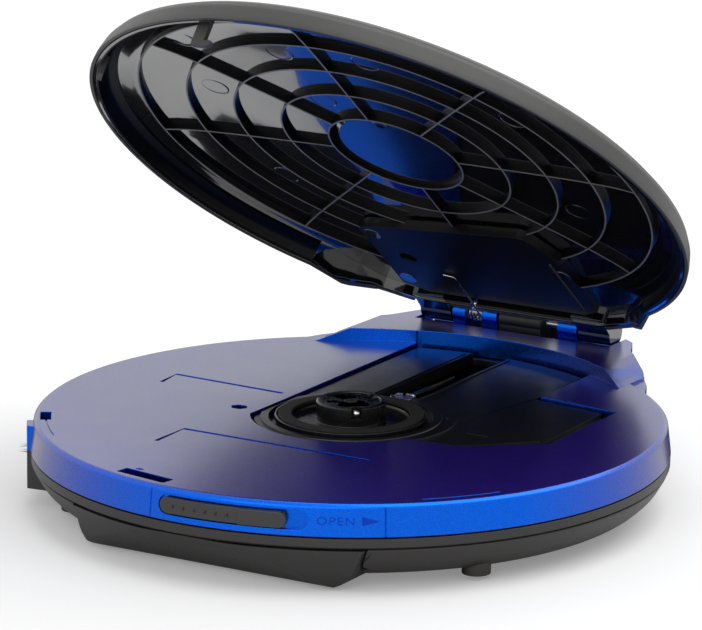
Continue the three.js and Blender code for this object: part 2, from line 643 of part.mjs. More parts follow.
/** Height of the lid's outer face over the deck at a radius. */
function domeHeight(r) {
  const next = DOME.findIndex(([radius]) => radius >= r);
  if (next <= 0) return DOME[0][1];
  const [r0, z0] = DOME[next - 1];
  const [r1, z1] = DOME[next];
  return z0 + ((z1 - z0) * (r - r0)) / (r1 - r0);
}

/** The dome's section pushed inwards by a distance, as a solid turned body. */
function domeBody(inset, low) {
  const points = DOME.filter(([r]) => r < DECK_R - inset - 0.9).map(([r, z]) => [r, DECK_Z + z - inset]);
  const edge = DECK_R - inset;
  const profile = [[0, low], [edge, low], [edge - 0.5, DECK_Z + 2.6], ...points.reverse()];
  return turned(profile, { steps: SHELL_STEPS });
}

/** The rear chin of the lid, drawn in by a distance. */
function chinBody(inset, low) {
  const outline = LID_CHIN.map(([x, y]) => [x - Math.sign(x) * inset * 1.1, y - (y > 55 ? inset : 0)]);
  const top = DECK_Z + 7.6 - inset;
  const slope = prismX([[40, low], [75, low], [75, top - 0.6], [60, top], [40, top]], -50, 50);
  return prism(outline, low, DECK_Z + 9).intersect(slope);
}

const lidBody = (inset, low) => join(domeBody(inset, low), chinBody(inset, low));

const BUTTONS = { play_button: -17, stop_button: -5.7, back_button: 5.7, forward_button: 17 };
const BUTTON_Y = 53;
const BUTTON_R = 3.1;
const WINDOW = { x: 13, y0: 35.5, y1: 46.5 };
const LID_KNUCKLES = [[-24.3, -16.4], [16.3, 24.3]]; // along X
const SPRING_X = -9;
const SPRING_SLOT = block(SPRING_X - 0.7, SPRING_X + 0.7, 64, 76, DECK_Z + 2, DECK_Z + 5.2);
const LEAF_LOW = DECK_Z + 4.6; // hinge plate inside the lid
const LEAF_T = 0.7;

function lidCover() {
  let cover = cut(lidBody(0, LIP), lidBody(COVER_T, LIP - 1));
  cover = cut(cover, bridgeSpace(GAP, DECK_Z - 1));
  for (const x of Object.values(BUTTONS)) {
    cover = cut(cover, disc(BUTTON_R + GAP, DECK_Z + 6.5, DECK_Z + 12, { x, y: BUTTON_Y }));
  }
  for (const [x0, x1] of LID_KNUCKLES) {
    cover = cut(cover, block(x0 - GAP, x1 + GAP, 67, 76, DECK_Z, DECK_Z + 8));
  }
  const opening = block(-WINDOW.x, WINDOW.x, WINDOW.y0, WINDOW.y1, DECK_Z + 6.5, DECK_Z + 12);
  return cut(cover, SPRING_SLOT, opening);
}

/** One straight rib that follows the ceiling from the inner ring to the outer one. */
function radialRib(inset) {
  const radii = [RING_RADII[0], 42, 54, RING_RADII.at(-1)];
  const top = radii.map((r) => [-r, DECK_Z + domeHeight(r) - inset - 0.4]);
  const low = top.map(([y, z]) => [y, z - 0.25 - RIB]).reverse();
  return prismX([...top, ...low], -0.3, 0.3);
}

function lidLiner() {
  const outer = COVER_T + 0.25;
  let liner = cut(lidBody(outer, LIP), lidBody(outer + 0.65, LIP - 1));
  for (const r of RING_RADII) {
    const ceiling = DECK_Z + domeHeight(r) - outer - 0.5;
    liner = join(liner, ring(r - 0.3, r + 0.3, ceiling - 0.15 - RIB, ceiling, { steps: 28 }));
  }
  const spoke = radialRib(outer);
  for (let i = 0; i < RADIAL_RIBS; i += 1) {
    liner = join(liner, spoke.rotate([0, 0, (360 * i) / RADIAL_RIBS]));
  }
  liner = cut(liner, block(-21.4, 20.6, 34, 59.5, DECK_Z + 5, DECK_Z + 9));
  for (const [x, y] of PLATE_SCREWS) {
    const top = DECK_Z + Math.max(domeHeight(Math.hypot(x, y)), 7.4) - outer - 0.3;
    liner = join(liner, disc(2, LEAF_LOW + LEAF_T + GAP, top, { x, y, steps: 12 }));
    liner = cut(liner, disc(0.9, 0, DECK_Z + 5.9, { x, y, steps: 12 }));
  }
  liner = cut(liner, bridgeSpace(GAP, DECK_Z - 1));
  liner = cut(join(liner, hook(), tab()), SPRING_SLOT);
  for (const [x0, x1] of LID_KNUCKLES) {
    const arm = prismX([
      [67, DECK_Z + 3.9], [HINGE_Y, HINGE_Z - 2.2], [HINGE_Y, HINGE_Z + 2.2], [67, DECK_Z + 6.2],
    ], x0, x1);
    liner = join(liner, barX(KNUCKLE_R, x0, x1, HINGE_Y, HINGE_Z), arm);
  }
  return cut(liner, barX(PIN_R + GAP, -26, 26, HINGE_Y, HINGE_Z));
}

const PLATE_SCREWS = [[-22.6, 39.1], [-22.8, 60.5], [21.9, 47]];

/** L-shaped hook that the catch holds. */
function hook() {
  const y = [-62.6, -61.2];
  const shank = block(-16, -13.4, y[0], y[1], DECK_Z - 3.6, DECK_Z + 5);
  const toe = block(-14, -11.9, y[0], y[1], DECK_Z - 3.6, DECK_Z - 2.8);
  return join(shank, toe);
}

/** Locating tab on the left rim. */
const tab = () => sector(64.3, 65.4, -58.6, -54.9, DECK_Z - 1.4, DECK_Z + 3);

const hingePlate = () => {
  const leaf = [
    [-25.2, 37], [-22.6, 35.4], [19, 30.2], [21.6, 36.4], [24.3, 41], [24.3, 64], [20, 66.6],
    [-20, 66.6], [-25.4, 63.4],
  ];
  let plate = prism(leaf, LEAF_LOW, LEAF_LOW + LEAF_T);
  plate = cut(plate, disc(2, 0, 40, { x: -17.8, y: 49.3 }));
  for (const [x, y] of PLATE_SCREWS) plate = cut(plate, disc(0.9 + GAP, 0, 40, { x, y, steps: 12 }));
  return plate;
};

const plateScrew = ([x, y]) => join(
  disc(1.6, LEAF_LOW - 0.9, LEAF_LOW - GAP, { x, y, steps: 14 }),
  disc(0.6, LEAF_LOW - 0.4, DECK_Z + 5.7, { x, y, steps: 10 }));

/** Lid spring: a coil round the left pin and an arm to a clip on the hinge plate. */
function lidSpring() {
  const coil = coilX(1.75, 0.22, -12.3, SPRING_X, 4, HINGE_Y, HINGE_Z);
  const path = new THREE.CatmullRomCurve3([
    new THREE.Vector3(SPRING_X, HINGE_Y + 1.75, HINGE_Z),
    new THREE.Vector3(SPRING_X, HINGE_Y + 0.6, HINGE_Z - 1.8),
    new THREE.Vector3(SPRING_X, HINGE_Y - 2, HINGE_Z - 1.6),
    new THREE.Vector3(SPRING_X, 66, LEAF_LOW - 0.5),
    new THREE.Vector3(SPRING_X + 0.6, 55.5, LEAF_LOW - 0.5),
    new THREE.Vector3(SPRING_X - 2, 54.8, LEAF_LOW - 0.5),
  ]);
  const section = new THREE.Shape();
  section.absarc(0, 0, 0.22, 0, 2 * Math.PI, false);
  const arm = solid(new THREE.ExtrudeGeometry(section, { steps: 26, curveSegments: 3, extrudePath: path }));
  return join(coil, arm);
}

function lidButton(x) {
  const cap = turned([
    [0, DECK_Z + 6.9], [1.2, DECK_Z + 6.9], [1.2, DECK_Z + 7.6], [BUTTON_R, DECK_Z + 7.6],
    [BUTTON_R, DECK_Z + 8.9], [BUTTON_R - 0.4, DECK_Z + 9.2], [0, DECK_Z + 9.3],
  ], { x, y: BUTTON_Y });
  return cap;
}

// ---------------------------------------------------------------- assembly

add('top_deck', topDeck(), BLUE);
add('bottom_case', bottomCase(), CASE_BLACK);
add('battery_door', batteryDoor(), CASE_BLACK);
FEET.forEach(([x, y], i) => add(`rubber_foot_${i + 1}`, disc(4, FOOT_Z, 0.5, { x, y }), RUBBER));
SCREWS.forEach(([x, y], i) => {
  const head = disc(2, 1.4, 2.9, { x, y, steps: 14 });
  const shank = disc(1, 2.8, DECK_Z - 3.3, { x, y, steps: 12 });
  add(`case_screw_${i + 1}`, join(head, shank), STEEL);
});
add('hinge_pin_left', barX(PIN_R, -24, -4.9, HINGE_Y, HINGE_Z, 16), STEEL);
add('hinge_pin_right', barX(PIN_R, 6.9, 24, HINGE_Y, HINGE_Z, 16), STEEL);
add('hinge_cable_cover', join(
  barX(KNUCKLE_R - 0.2, -4.2, 6.5, HINGE_Y, HINGE_Z),
  block(-4.2, 6.5, HINGE_Y - 2.6, HINGE_Y + 2.6, DECK_Z + 0.9, HINGE_Z)), SATIN_BLACK);

add('mechanism_chassis', chassis(), SATIN_BLACK);
BOSSES.forEach(([x, y], i) => {
  add(`chassis_damper_${i + 1}`, ring(1.55, 3, DECK_Z - 5, DECK_Z - 3.6, { x, y, steps: 12 }), RUBBER);
});
add('spindle_motor', spindleMotor(), STEEL);
add('spindle_shaft', disc(PIN_R, DECK_Z - 8.3, DECK_Z + 0.7, { steps: 12 }), STEEL);
add('turntable', turntable(), SATIN_BLACK);
add('disc_pad', ring(12.7, 15.6, DECK_Z - 0.2, DECK_Z + 0.5, { steps: 36 }), RUBBER);
NOTCHES.forEach((angle, i) => add(`hub_ball_${i + 1}`, hubBall(angle), STEEL));
add('guide_rod_main', barY(PIN_R, RODS.main, 8.7, 61.9, ROD_Z, 16), STEEL);
add('guide_rod_sub', barY(PIN_R, RODS.sub, 8.7, 61.9, ROD_Z, 16), STEEL);
add('pickup_sled', pickupSled(), SATIN_BLACK);
add('pickup_lens', pickupLens(), LENS_GLASS);
add('drive_gear', driveGear(), GEAR_WHITE);
add('motor_pinion', motorPinion(), GEAR_WHITE);
add('sled_motor', sledMotor(), STEEL);

add('open_slider', openSlider(), KNOB_GREY);
add('latch_catch', latchCatch(), SATIN_BLACK);

add('main_board', mainBoard(), BOARD_GREEN);
add('signal_chip', block(-46, -34, -6, 6, MAIN_BOARD_TOP + GAP, MAIN_BOARD_TOP + 1.8), SATIN_BLACK);
add('headphone_jack', headphoneJack(), SATIN_BLACK);
add('dc_jack', dcJack(), SATIN_BLACK);
add('volume_pot', volumePot(), STEEL);
add('volume_wheel', volumeWheel(), KNOB_GREY);
add('hold_switch', holdSwitch(), KNOB_GREY);

add('battery_link', springContact(-1, BAY.y0 + 2, BAY.y1 - 2, CELL_Y[0]), STEEL);
add('battery_spring', springContact(1, CELL_Y[1] - 5, CELL_Y[1] + 5, CELL_Y[1]), STEEL);
add('battery_contact', buttonContact(1, CELL_Y[0] - 5, CELL_Y[0] + 5, CELL_Y[0]), STEEL);

addToLid('lid_cover', lidCover(), LID_GREY);
addToLid('lid_liner', lidLiner(), GLOSS_BLACK);
addToLid('lid_hinge_plate', hingePlate(), SATIN_BLACK);
addToLid('lid_spring', lidSpring(), STEEL);
PLATE_SCREWS.forEach((place, i) => addToLid(`plate_screw_${i + 1}`, plateScrew(place), STEEL));
addToLid('control_board', block(-20.6, 19.8, 35, 57.4, DECK_Z + 5.6, DECK_Z + 6.3), BOARD_GREEN);
const glassPanel = block(-12, 12, WINDOW.y0 + 1, WINDOW.y1 - 1, DECK_Z + 6.6, DECK_Z + 7.75);
addToLid('display_panel', glassPanel, LCD_GREY);
const windowPane = block(
  -WINDOW.x + GAP, WINDOW.x - GAP, WINDOW.y0 + GAP, WINDOW.y1 - GAP, DECK_Z + 8.05, DECK_Z + 8.8);
addToLid('display_window', windowPane, GLOSS_BLACK);
for (const [name, x] of Object.entries(BUTTONS)) addToLid(name, lidButton(x), KNOB_GREY);

export default player;
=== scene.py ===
"""A portable disc player with its lid open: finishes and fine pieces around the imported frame.

Lengths in the classes are millimetres in the part's own frame: the disc axis is Z, the front
is -Y and the lid hinge is at +Y. Pieces of the lid are drawn shut and turned open as a whole.
"""

from __future__ import annotations

import json
import logging
import math
from contextlib import contextmanager
from dataclasses import dataclass, field
from enum import Enum
from functools import lru_cache, reduce
from typing import Any, Iterable, Iterator, Mapping, Sequence, Union

import bmesh
import bpy
from mathutils import Matrix, Vector

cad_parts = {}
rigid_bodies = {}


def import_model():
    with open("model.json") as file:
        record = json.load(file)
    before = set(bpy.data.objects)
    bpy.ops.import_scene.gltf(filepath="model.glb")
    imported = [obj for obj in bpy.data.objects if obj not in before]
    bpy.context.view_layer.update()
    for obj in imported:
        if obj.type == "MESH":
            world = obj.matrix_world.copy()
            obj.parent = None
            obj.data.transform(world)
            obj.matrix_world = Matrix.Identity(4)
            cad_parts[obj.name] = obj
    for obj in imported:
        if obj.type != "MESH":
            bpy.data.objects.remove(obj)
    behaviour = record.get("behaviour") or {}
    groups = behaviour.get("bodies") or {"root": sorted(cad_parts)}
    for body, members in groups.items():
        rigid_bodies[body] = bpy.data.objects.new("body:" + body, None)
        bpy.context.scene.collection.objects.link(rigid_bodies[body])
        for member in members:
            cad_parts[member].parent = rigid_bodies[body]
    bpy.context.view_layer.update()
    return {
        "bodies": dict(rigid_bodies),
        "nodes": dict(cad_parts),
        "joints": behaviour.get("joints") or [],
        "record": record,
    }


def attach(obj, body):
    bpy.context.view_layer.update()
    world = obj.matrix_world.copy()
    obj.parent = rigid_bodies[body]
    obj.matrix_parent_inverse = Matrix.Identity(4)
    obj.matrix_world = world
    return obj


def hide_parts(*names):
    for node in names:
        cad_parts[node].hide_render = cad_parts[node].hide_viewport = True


LOG = logging.getLogger("player")

MM = 0.001
SHELL_STEPS = 240  # sides of the large round shells
SMALL_STEPS = 48  # sides of pins, screws and bosses
ARC_STEP = 1.5  # degrees between the columns of a wrapped piece
WELD = 0.0015  # distance within which two points of a cut solid are one
ROUND_WELD = 0.006  # the same once its edges are rounded
GROWN_WELD = 1e-4  # the same in what a geometry tree makes
FLAT = 0.3  # degrees below which two faces of a cut solid are one
ROUND_FROM = 28.0  # degrees above which an edge is rounded
GROWN_SHARP = 35.0  # degrees above which an edge of a geometry tree's mesh is sharp

DECK = 18.2  # height of the deck's top face
BAND_LOW = 11.4  # foot of the deck's bright band
BAND_FOOT = 68.35  # radius of the band at its foot
BAND_HEAD = 67.62  # radius of the band where it rounds into the deck
BAND_ROUND = 0.7  # radius of that round
PORTS = DECK - 9.6  # height of the jacks and the hold switch
PHONE_Y = -4.0
POWER_Y = -12.0
KNUCKLE = 3.1  # radius of the hinge's knuckles
PIN_HOLE = 1.3  # radius of the hole through them
LID_OPEN = 39.2  # degrees that the lid stands open
HINGE = Vector((0.0, 75.0, 23.2))
LID_PLACE = (
    Matrix.Translation(HINGE)
    @ Matrix.Rotation(-math.radians(LID_OPEN), 4, "X")
    @ Matrix.Translation(-HINGE)
)

Mesh = bpy.types.Mesh
Object = bpy.types.Object
Material = bpy.types.Material
Point = Sequence[float]
Colour = tuple[float, float, float]
Operand = Union["Wire", float]


class Body(Enum):
    """Moving groups of the frame that pieces ride on."""

    BASE = "base"
    LID = "lid"
    SPINDLE = "spindle"
    BALL_1 = "ball_1"
    BALL_2 = "ball_2"
    BALL_3 = "ball_3"
    SLED = "sled"
    LENS = "lens"
    RELEASE = "release"
    DOOR = "door"
    VOLUME = "volume"
    HOLD = "hold"
    PLAY = "play_key"
    STOP = "stop_key"
    BACK = "back_key"
    FORWARD = "forward_key"


class Slot(Enum):
    """Material slots of the record that the pieces name; nothing reads them."""

    DECK_BLUE = "deck_blue"
    CASE_BLACK = "case_black"
    LID_GREY = "lid_grey"
    GLOSS_BLACK = "gloss_black"
    SATIN_BLACK = "satin_black"
    KNOB_GREY = "knob_grey"
    STEEL = "steel"
    RUBBER = "rubber"
    LENS_GLASS = "lens_glass"


class Axis(Enum):
    """Directions that an outline is drawn out along."""

    X = 0
    Y = 1
    Z = 2


# ---------------------------------------------------------------- node graphs


class Wire:
    """A node's output that takes part in plain arithmetic."""

    def __init__(self, graph: Graph, socket: bpy.types.NodeSocket) -> None:
        """Keeps the socket and the graph that it belongs to."""
        self.graph = graph
        self.socket = socket

    def _math(self, operation: str, *values: Operand) -> Wire:
        """Adds one Math node on the given values."""
        return self.graph.add("ShaderNodeMath", {"operation": operation}, dict(enumerate(values)))

    def __add__(self, other: Operand) -> Wire:
        """Sum."""
        return self._math("ADD", self, other)

    def __radd__(self, other: Operand) -> Wire:
        """Sum with a number on the left."""
        return self._math("ADD", other, self)

    def __sub__(self, other: Operand) -> Wire:
        """Difference."""
        return self._math("SUBTRACT", self, other)

    def __rsub__(self, other: Operand) -> Wire:
        """Difference from a number on the left."""
        return self._math("SUBTRACT", other, self)

    def __mul__(self, other: Operand) -> Wire:
        """Product."""
        return self._math("MULTIPLY", self, other)

    def __rmul__(self, other: Operand) -> Wire:
        """Product with a number on the left."""
        return self._math("MULTIPLY", other, self)

    def __truediv__(self, other: Operand) -> Wire:
        """Quotient."""
        return self._math("DIVIDE", self, other)

    def __pow__(self, other: Operand) -> Wire:
        """Power."""
        return self._math("POWER", self, other)

    def __gt__(self, other: Operand) -> Wire:
        """One where this is greater."""
        return self._math("GREATER_THAN", self, other)

    def __lt__(self, other: Operand) -> Wire:
        """One where this is less."""
        return self._math("LESS_THAN", self, other)

    def fold(self, span: float) -> Wire:
        """Distance to the nearest multiple of a span."""
        return self._math("PINGPONG", self, span)


class Graph:
    """A node tree that grows through one method."""

    def __init__(self, tree: bpy.types.NodeTree) -> None:
        """Keeps the tree."""
        self.tree = tree

    def add(
        self,
        kind: str,
        settings: Mapping[str, Any] | None = None,
        inputs: Mapping[Any, Any] | None = None,
        output: Any = 0,
    ) -> Wire:
        """Adds a node.

        Args:
            kind: the node's type name.
            settings: properties set first.
            inputs: values or wires by socket name or index; a list fills a joining socket.
            output: name or index of the output to go on from.

        Returns:
            A wire on the chosen output.
        """
        node = self.tree.nodes.new(kind)
        for key, value in (settings or {}).items():
            setattr(node, key, value)
        for key, value in (inputs or {}).items():
            for item in value if isinstance(value, list) else [value]:
                if isinstance(item, Wire):
                    self.tree.links.new(item.socket, node.inputs[key])
                else:
                    node.inputs[key].default_value = item
        return Wire(self, node.outputs[output] if len(node.outputs) else None)


# ---------------------------------------------------------------- finishes


def dimmed(colour: Colour, factor: float) -> Colour:
    """A colour made darker, or lighter by a factor over one."""
    return tuple(factor * value for value in colour)


class Paint(Graph):
    """The node graph of one material, with its usual starting points."""

    def __init__(self, name: str) -> None:
        """Starts an empty material.

        Args:
            name: the material's name.
        """
        self.material = bpy.data.materials.new(name)
        self.material.use_nodes = True
        super().__init__(self.material.node_tree)
        self.tree.nodes.clear()
        self.place = self.add("ShaderNodeTexCoord", output="Object")

    def noise(self, size: float, detail: float = 2.0, roughness: float = 0.5) -> Wire:
        """Soft noise.

        Args:
            size: size of its blotches in millimetres.
            detail: octaves.
            roughness: share of the fine octaves.

        Returns:
            Values about one half.
        """
        sockets = {"Vector": self.place, "Scale": 1 / (size * MM), "Detail": detail}
        return self.add("ShaderNodeTexNoise", inputs=sockets | {"Roughness": roughness})

    def stretched(self, sizes: Point) -> Wire:
        """Noise drawn out along the axes, in blotches of three sizes in millimetres."""
        scale = tuple(1 / (size * MM) for size in sizes)
        spread = self.add("ShaderNodeVectorMath", {"operation": "MULTIPLY"}, {0: self.place, 1: scale})
        return self.add("ShaderNodeTexNoise", inputs={"Vector": spread, "Scale": 1.0})

    def cells(self, size: float, output: str = "Distance") -> Wire:
        """Voronoi cells of a size in millimetres."""
        sockets = {"Vector": self.place, "Scale": 1 / (size * MM)}
        return self.add("ShaderNodeTexVoronoi", inputs=sockets, output=output)

    def mix(self, factor: Operand, low: Any, high: Any) -> Wire:
        """Mixes two colours.

        Args:
            factor: share of the second.
            low: first colour or wire.
            high: second colour or wire.

        Returns:
            The mixed colour.
        """
        pair = [value if isinstance(value, Wire) else (*value, 1.0) for value in (low, high)]
        return self.add("ShaderNodeMix", {"data_type": "RGBA"}, {0: factor, 6: pair[0], 7: pair[1]}, 2)

    def bump(self, height: Wire, depth: float, under: Wire | None = None) -> Wire:
        """Relief from a height.

        Args:
            height: values from nought to one.
            depth: depth in millimetres at one.
            under: a normal to start from.

        Returns:
            The disturbed normal.
        """
        sockets: dict[str, Any] = {"Height": height, "Strength": 1.0, "Distance": depth * MM}
        if under is not None:
            sockets["Normal"] = under
        return self.add("ShaderNodeBump", inputs=sockets)

    def shader(self, **sockets: Any) -> Wire:
        """Adds a Principled surface; underscores in the names stand for spaces."""
        named = {key.replace("_", " "): value for key, value in sockets.items()}
        for key, value in named.items():
            if isinstance(value, tuple) and len(value) == 3 and key != "Normal":
                named[key] = (*value, 1.0)
        return self.add("ShaderNodeBsdfPrincipled", inputs=named)

    def close(self, surface: Wire) -> Material:
        """Ends the graph in the material's output."""
        self.add("ShaderNodeOutputMaterial", inputs={"Surface": surface})
        return self.material

    def finished(self, **sockets: Any) -> Material:
        """Ends the graph in one Principled surface."""
        return self.close(self.shader(**sockets))


@dataclass(frozen=True)
class Lacquer:
    """Flip-flop lacquer: azure flake seen squarely, a deep violet ground seen aslant."""

    name: str
    ground: Colour = (0.022, 0.006, 0.2)
    flake: Colour = (0.003, 0.135, 0.86)
    gleam: float = 1.25  # share of the flake layer seen squarely
    fade: float = 1.55  # what it loses by the time it is seen edge-on
    roughness: float = 0.26
    grit: float = 0.16  # flake size

    def material(self) -> Material:
        """Builds the layered lacquer."""
        paint = Paint(self.name)
        cloud = paint.noise(9.0, 3.0)
        speck = paint.cells(self.grit, "Color")
        sparkle = paint.add("ShaderNodeSeparateColor", inputs={0: speck})
        relief = paint.bump(sparkle * 0.5 + paint.noise(0.5) * 0.5, 0.006)
        rough = self.roughness + (cloud - 0.5) * 0.08 + (sparkle - 0.5) * 0.06
        darker = dimmed(self.flake, 0.78)
        under = dimmed(self.ground, 0.7)
        ground = paint.shader(
            Base_Color=paint.mix(cloud, under, self.ground),
            Roughness=rough + 0.06,
            Normal=relief,
            Specular_IOR_Level=0.6,
            Coat_Weight=0.6,
            Coat_Roughness=0.2,
        )
        gleam = paint.shader(
            Base_Color=paint.mix(sparkle, darker, self.flake),
            Metallic=1.0,
            Roughness=rough,
            Normal=relief,
            Coat_Weight=0.1,
            Coat_Roughness=0.16,
        )
        aslant = paint.add("ShaderNodeLayerWeight", inputs={"Blend": 0.5}, output="Facing")
        clamped = {"operation": "SUBTRACT", "use_clamp": True}
        share = paint.add("ShaderNodeMath", clamped, {0: self.gleam, 1: aslant * self.fade})
        both = paint.add("ShaderNodeMixShader", inputs={0: share, 1: ground, 2: gleam})
        return paint.close(both)


@dataclass(frozen=True)
class Moulding:
    """Moulded plastic: a colour with a faint mottle, a fine eroded grain and rubbed spots."""

    name: str
    colour: Colour
    roughness: float = 0.45
    grain: float = 0.22
    relief: float = 0.012
    mottle: float = 0.12
    specular: float = 0.5
    coat: float = 0.0

    def material(self) -> Material:
        """Builds the plastic."""
        paint = Paint(self.name)
        cloud = paint.noise(6.0, 4.0)
        fine = paint.noise(self.grain, 3.0, 0.6)
        wear = paint.noise(1.4, 5.0, 0.7)
        dark = dimmed(self.colour, 1 - self.mottle)
        light = dimmed(self.colour, 1 + self.mottle)
        return paint.finished(
            Base_Color=paint.mix(cloud * 0.6 + fine * 0.4, dark, light),
            Roughness=self.roughness + (wear - 0.5) * 0.16 + (cloud - 0.5) * 0.06,
            Normal=paint.bump(fine * 0.7 + paint.cells(self.grain * 1.6) * 0.3, self.relief),
            Specular_IOR_Level=self.specular,
            Coat_Weight=self.coat,
            Coat_Roughness=0.1,
        )


@dataclass(frozen=True)
class GlossMoulding:
    """Polished plastic whose wide faces are slightly wavy from the mould."""

    name: str
    colour: Colour = (0.004, 0.004, 0.005)
    roughness: float = 0.07
    wave: float = 8.0
    relief: float = 0.012
    coat: float = 1.0
    specular: float = 1.0

    def material(self) -> Material:
        """Builds the polished plastic."""
        paint = Paint(self.name)
        wave = paint.noise(self.wave, 2.0)
        dust = paint.noise(0.35, 4.0, 0.7)
        cloud = paint.noise(14.0, 3.0)
        lighter = dimmed(self.colour, 1.9)
        relief = paint.bump(dust, 0.0006, paint.bump(wave, self.relief))
        return paint.finished(
            Base_Color=paint.mix(cloud, self.colour, lighter),
            Roughness=self.roughness + (cloud - 0.4) * 0.05 + (dust - 0.5) * 0.04,
            Normal=relief,
            Specular_IOR_Level=self.specular,
            Coat_Weight=self.coat,
            Coat_Roughness=0.03,
            Coat_IOR=1.6,
        )


@dataclass(frozen=True)
class Plating:
    """Bright plated or turned metal with fine drawn-out scratches."""

    name: str
    colour: Colour = (0.62, 0.61, 0.59)
    roughness: float = 0.22
    lines: tuple[float, float, float] = (3.0, 0.12, 0.12)

    def material(self) -> Material:
        """Builds the metal."""
        paint = Paint(self.name)
        lines = paint.stretched(self.lines)
        cloud = paint.noise(2.5, 3.0)
        dull = dimmed(self.colour, 0.8)
        return paint.finished(
            Base_Color=paint.mix(cloud, dull, self.colour),
            Metallic=1.0,
            Roughness=self.roughness + (lines - 0.5) * 0.2 + (cloud - 0.5) * 0.1,
            Normal=paint.bump(lines, 0.004),
        )


@dataclass(frozen=True)
class CircuitBoard:
    """Solder mask over copper tracks, with bare pads."""

    name: str
    mask: Colour = (0.012, 0.1, 0.035)
    track: Colour = (0.03, 0.2, 0.07)
    pad: Colour = (0.75, 0.6, 0.3)

    def material(self) -> Material:
        """Builds the board."""
        paint = Paint(self.name)
        split = paint.add("ShaderNodeSeparateXYZ", inputs={0: paint.place})
        across = Wire(paint, split.socket.node.outputs["Y"])
        wander = paint.noise(6.0, 1.0)
        lane = (across / MM + wander * 3.0).fold(0.45)
        tracks = lane > 0.27
        pads = (paint.cells(2.3) < 0.16) * (paint.noise(4.0) > 0.5)
        colour = paint.mix(pads, paint.mix(tracks, self.mask, self.track), self.pad)
        return paint.finished(
            Base_Color=colour,
            Metallic=pads * 0.9,
            Roughness=0.32 + (paint.noise(0.8) - 0.5) * 0.1,
            Normal=paint.bump(tracks, 0.03),
        )


@dataclass(frozen=True)
class CoatedGlass:
    """Clear moulded lens with a violet coating."""

    name: str
    colour: Colour = (0.25, 0.3, 0.75)

    def material(self) -> Material:
        """Builds the glass."""
        paint = Paint(self.name)
        cloud = paint.noise(1.2, 2.0)
        tint = paint.mix(cloud, self.colour, (0.35, 0.2, 0.6))
        return paint.finished(
            Base_Color=tint,
            Roughness=0.04 + (cloud - 0.4) * 0.04,
            Normal=paint.bump(cloud, 0.001),
            Transmission_Weight=0.6,
            IOR=1.5,
            Coat_Weight=0.6,
            Coat_Roughness=0.02,
        )


@dataclass(frozen=True)
class DisplayCell:
    """Reflective display with faint unlit segments."""

    name: str
    colour: Colour = (0.24, 0.27, 0.21)
    segment: Colour = (0.2, 0.225, 0.175)

    def material(self) -> Material:
        """Builds the display."""
        paint = Paint(self.name)
        split = paint.add("ShaderNodeSeparateXYZ", inputs={0: paint.place})
        along = (split / MM).fold(1.5)
        marks = (along < 0.9) * (along > 0.5)
        return paint.finished(
            Base_Color=paint.mix(marks, self.colour, self.segment),
            Roughness=0.25 + (paint.noise(0.6) - 0.5) * 0.1,
            Normal=paint.bump(paint.noise(0.3), 0.001),
        )


Finish = Union[Lacquer, Moulding, GlossMoulding, Plating, CircuitBoard, CoatedGlass, DisplayCell]

BLUE_LACQUER = Lacquer("blue_lacquer")
LETTER_BLUE = Lacquer("letter_lacquer", (0.01, 0.01, 0.16), (0.002, 0.06, 0.55), 1.0, 1.4, 0.35)
CASE_PLASTIC = Moulding("case_plastic", (0.03, 0.0275, 0.0265), 0.4, 0.2, 0.012)
DOOR_PLASTIC = Moulding("door_plastic", (0.028, 0.026, 0.025), 0.42, 0.2, 0.014)
LID_PLASTIC = Moulding("lid_plastic", (0.056, 0.054, 0.053), 0.42, 0.18, 0.01)
LINER_PLASTIC = GlossMoulding("liner_plastic")
# painted shade: the liner's black with its reflection mostly taken away, so rib sides and the cove render as
# dark bands
SHADED_RIB_PLASTIC = Moulding("shaded_rib_plastic", (0.003, 0.003, 0.0035), 0.3, 0.2, 0.004, 0.1, 0.12)
# painted highlight: light grey on the rib tops, which are black like the liner
HIGHLIGHT_TIP_PLASTIC = Moulding("highlight_tip_plastic", (0.16, 0.155, 0.155), 0.3, 0.2, 0.004, 0.3, 0.6)
WINDOW_PLASTIC = GlossMoulding("window_plastic", (0.01, 0.011, 0.013), 0.05, 12.0, 0.004)
CHASSIS_PLASTIC = Moulding("chassis_plastic", (0.006, 0.0055, 0.006), 0.34, 0.24, 0.012)
HUB_PLASTIC = Moulding("hub_plastic", (0.006, 0.006, 0.0065), 0.26, 0.2, 0.004, 0.06)
HINGE_PLASTIC = Moulding("hinge_plastic", (0.008, 0.008, 0.009), 0.36, 0.2, 0.01)
PLATE_PLASTIC = Moulding("plate_plastic", (0.005, 0.005, 0.006), 0.34, 0.18, 0.006, 0.12, 0.3)
KNOB_PLASTIC = Moulding("knob_plastic", (0.04, 0.0375, 0.038), 0.42, 0.16, 0.01)
HOOK_PLASTIC = Moulding("hook_plastic", (0.05, 0.048, 0.047), 0.5, 0.18, 0.01)
CATCH_PLASTIC = Moulding("catch_plastic", (0.5, 0.46, 0.36), 0.4, 0.2, 0.01)
JACK_PLASTIC = Moulding("jack_plastic", (0.012, 0.012, 0.012), 0.45, 0.2, 0.01)
FOOT_RUBBER = Moulding("foot_rubber", (0.016, 0.016, 0.016), 0.82, 0.14, 0.03, 0.25, 0.25)
DAMPER_RUBBER = Moulding("damper_rubber", (0.02, 0.018, 0.018), 0.75, 0.16, 0.02, 0.2, 0.3)
GEAR_ACETAL = Moulding("gear_acetal", (0.62, 0.6, 0.54), 0.35, 0.3, 0.006, 0.06)
NICKEL = Plating("nickel")
CHROME = Plating("chrome", (0.72, 0.72, 0.73), 0.12, (1.0, 0.2, 0.2))
CAN_STEEL = Plating("can_steel", (0.52, 0.52, 0.53), 0.34, (0.2, 0.2, 3.0))
SPRING_STEEL = Plating("spring_steel", (0.6, 0.56, 0.48), 0.25, (0.3, 0.3, 0.3))
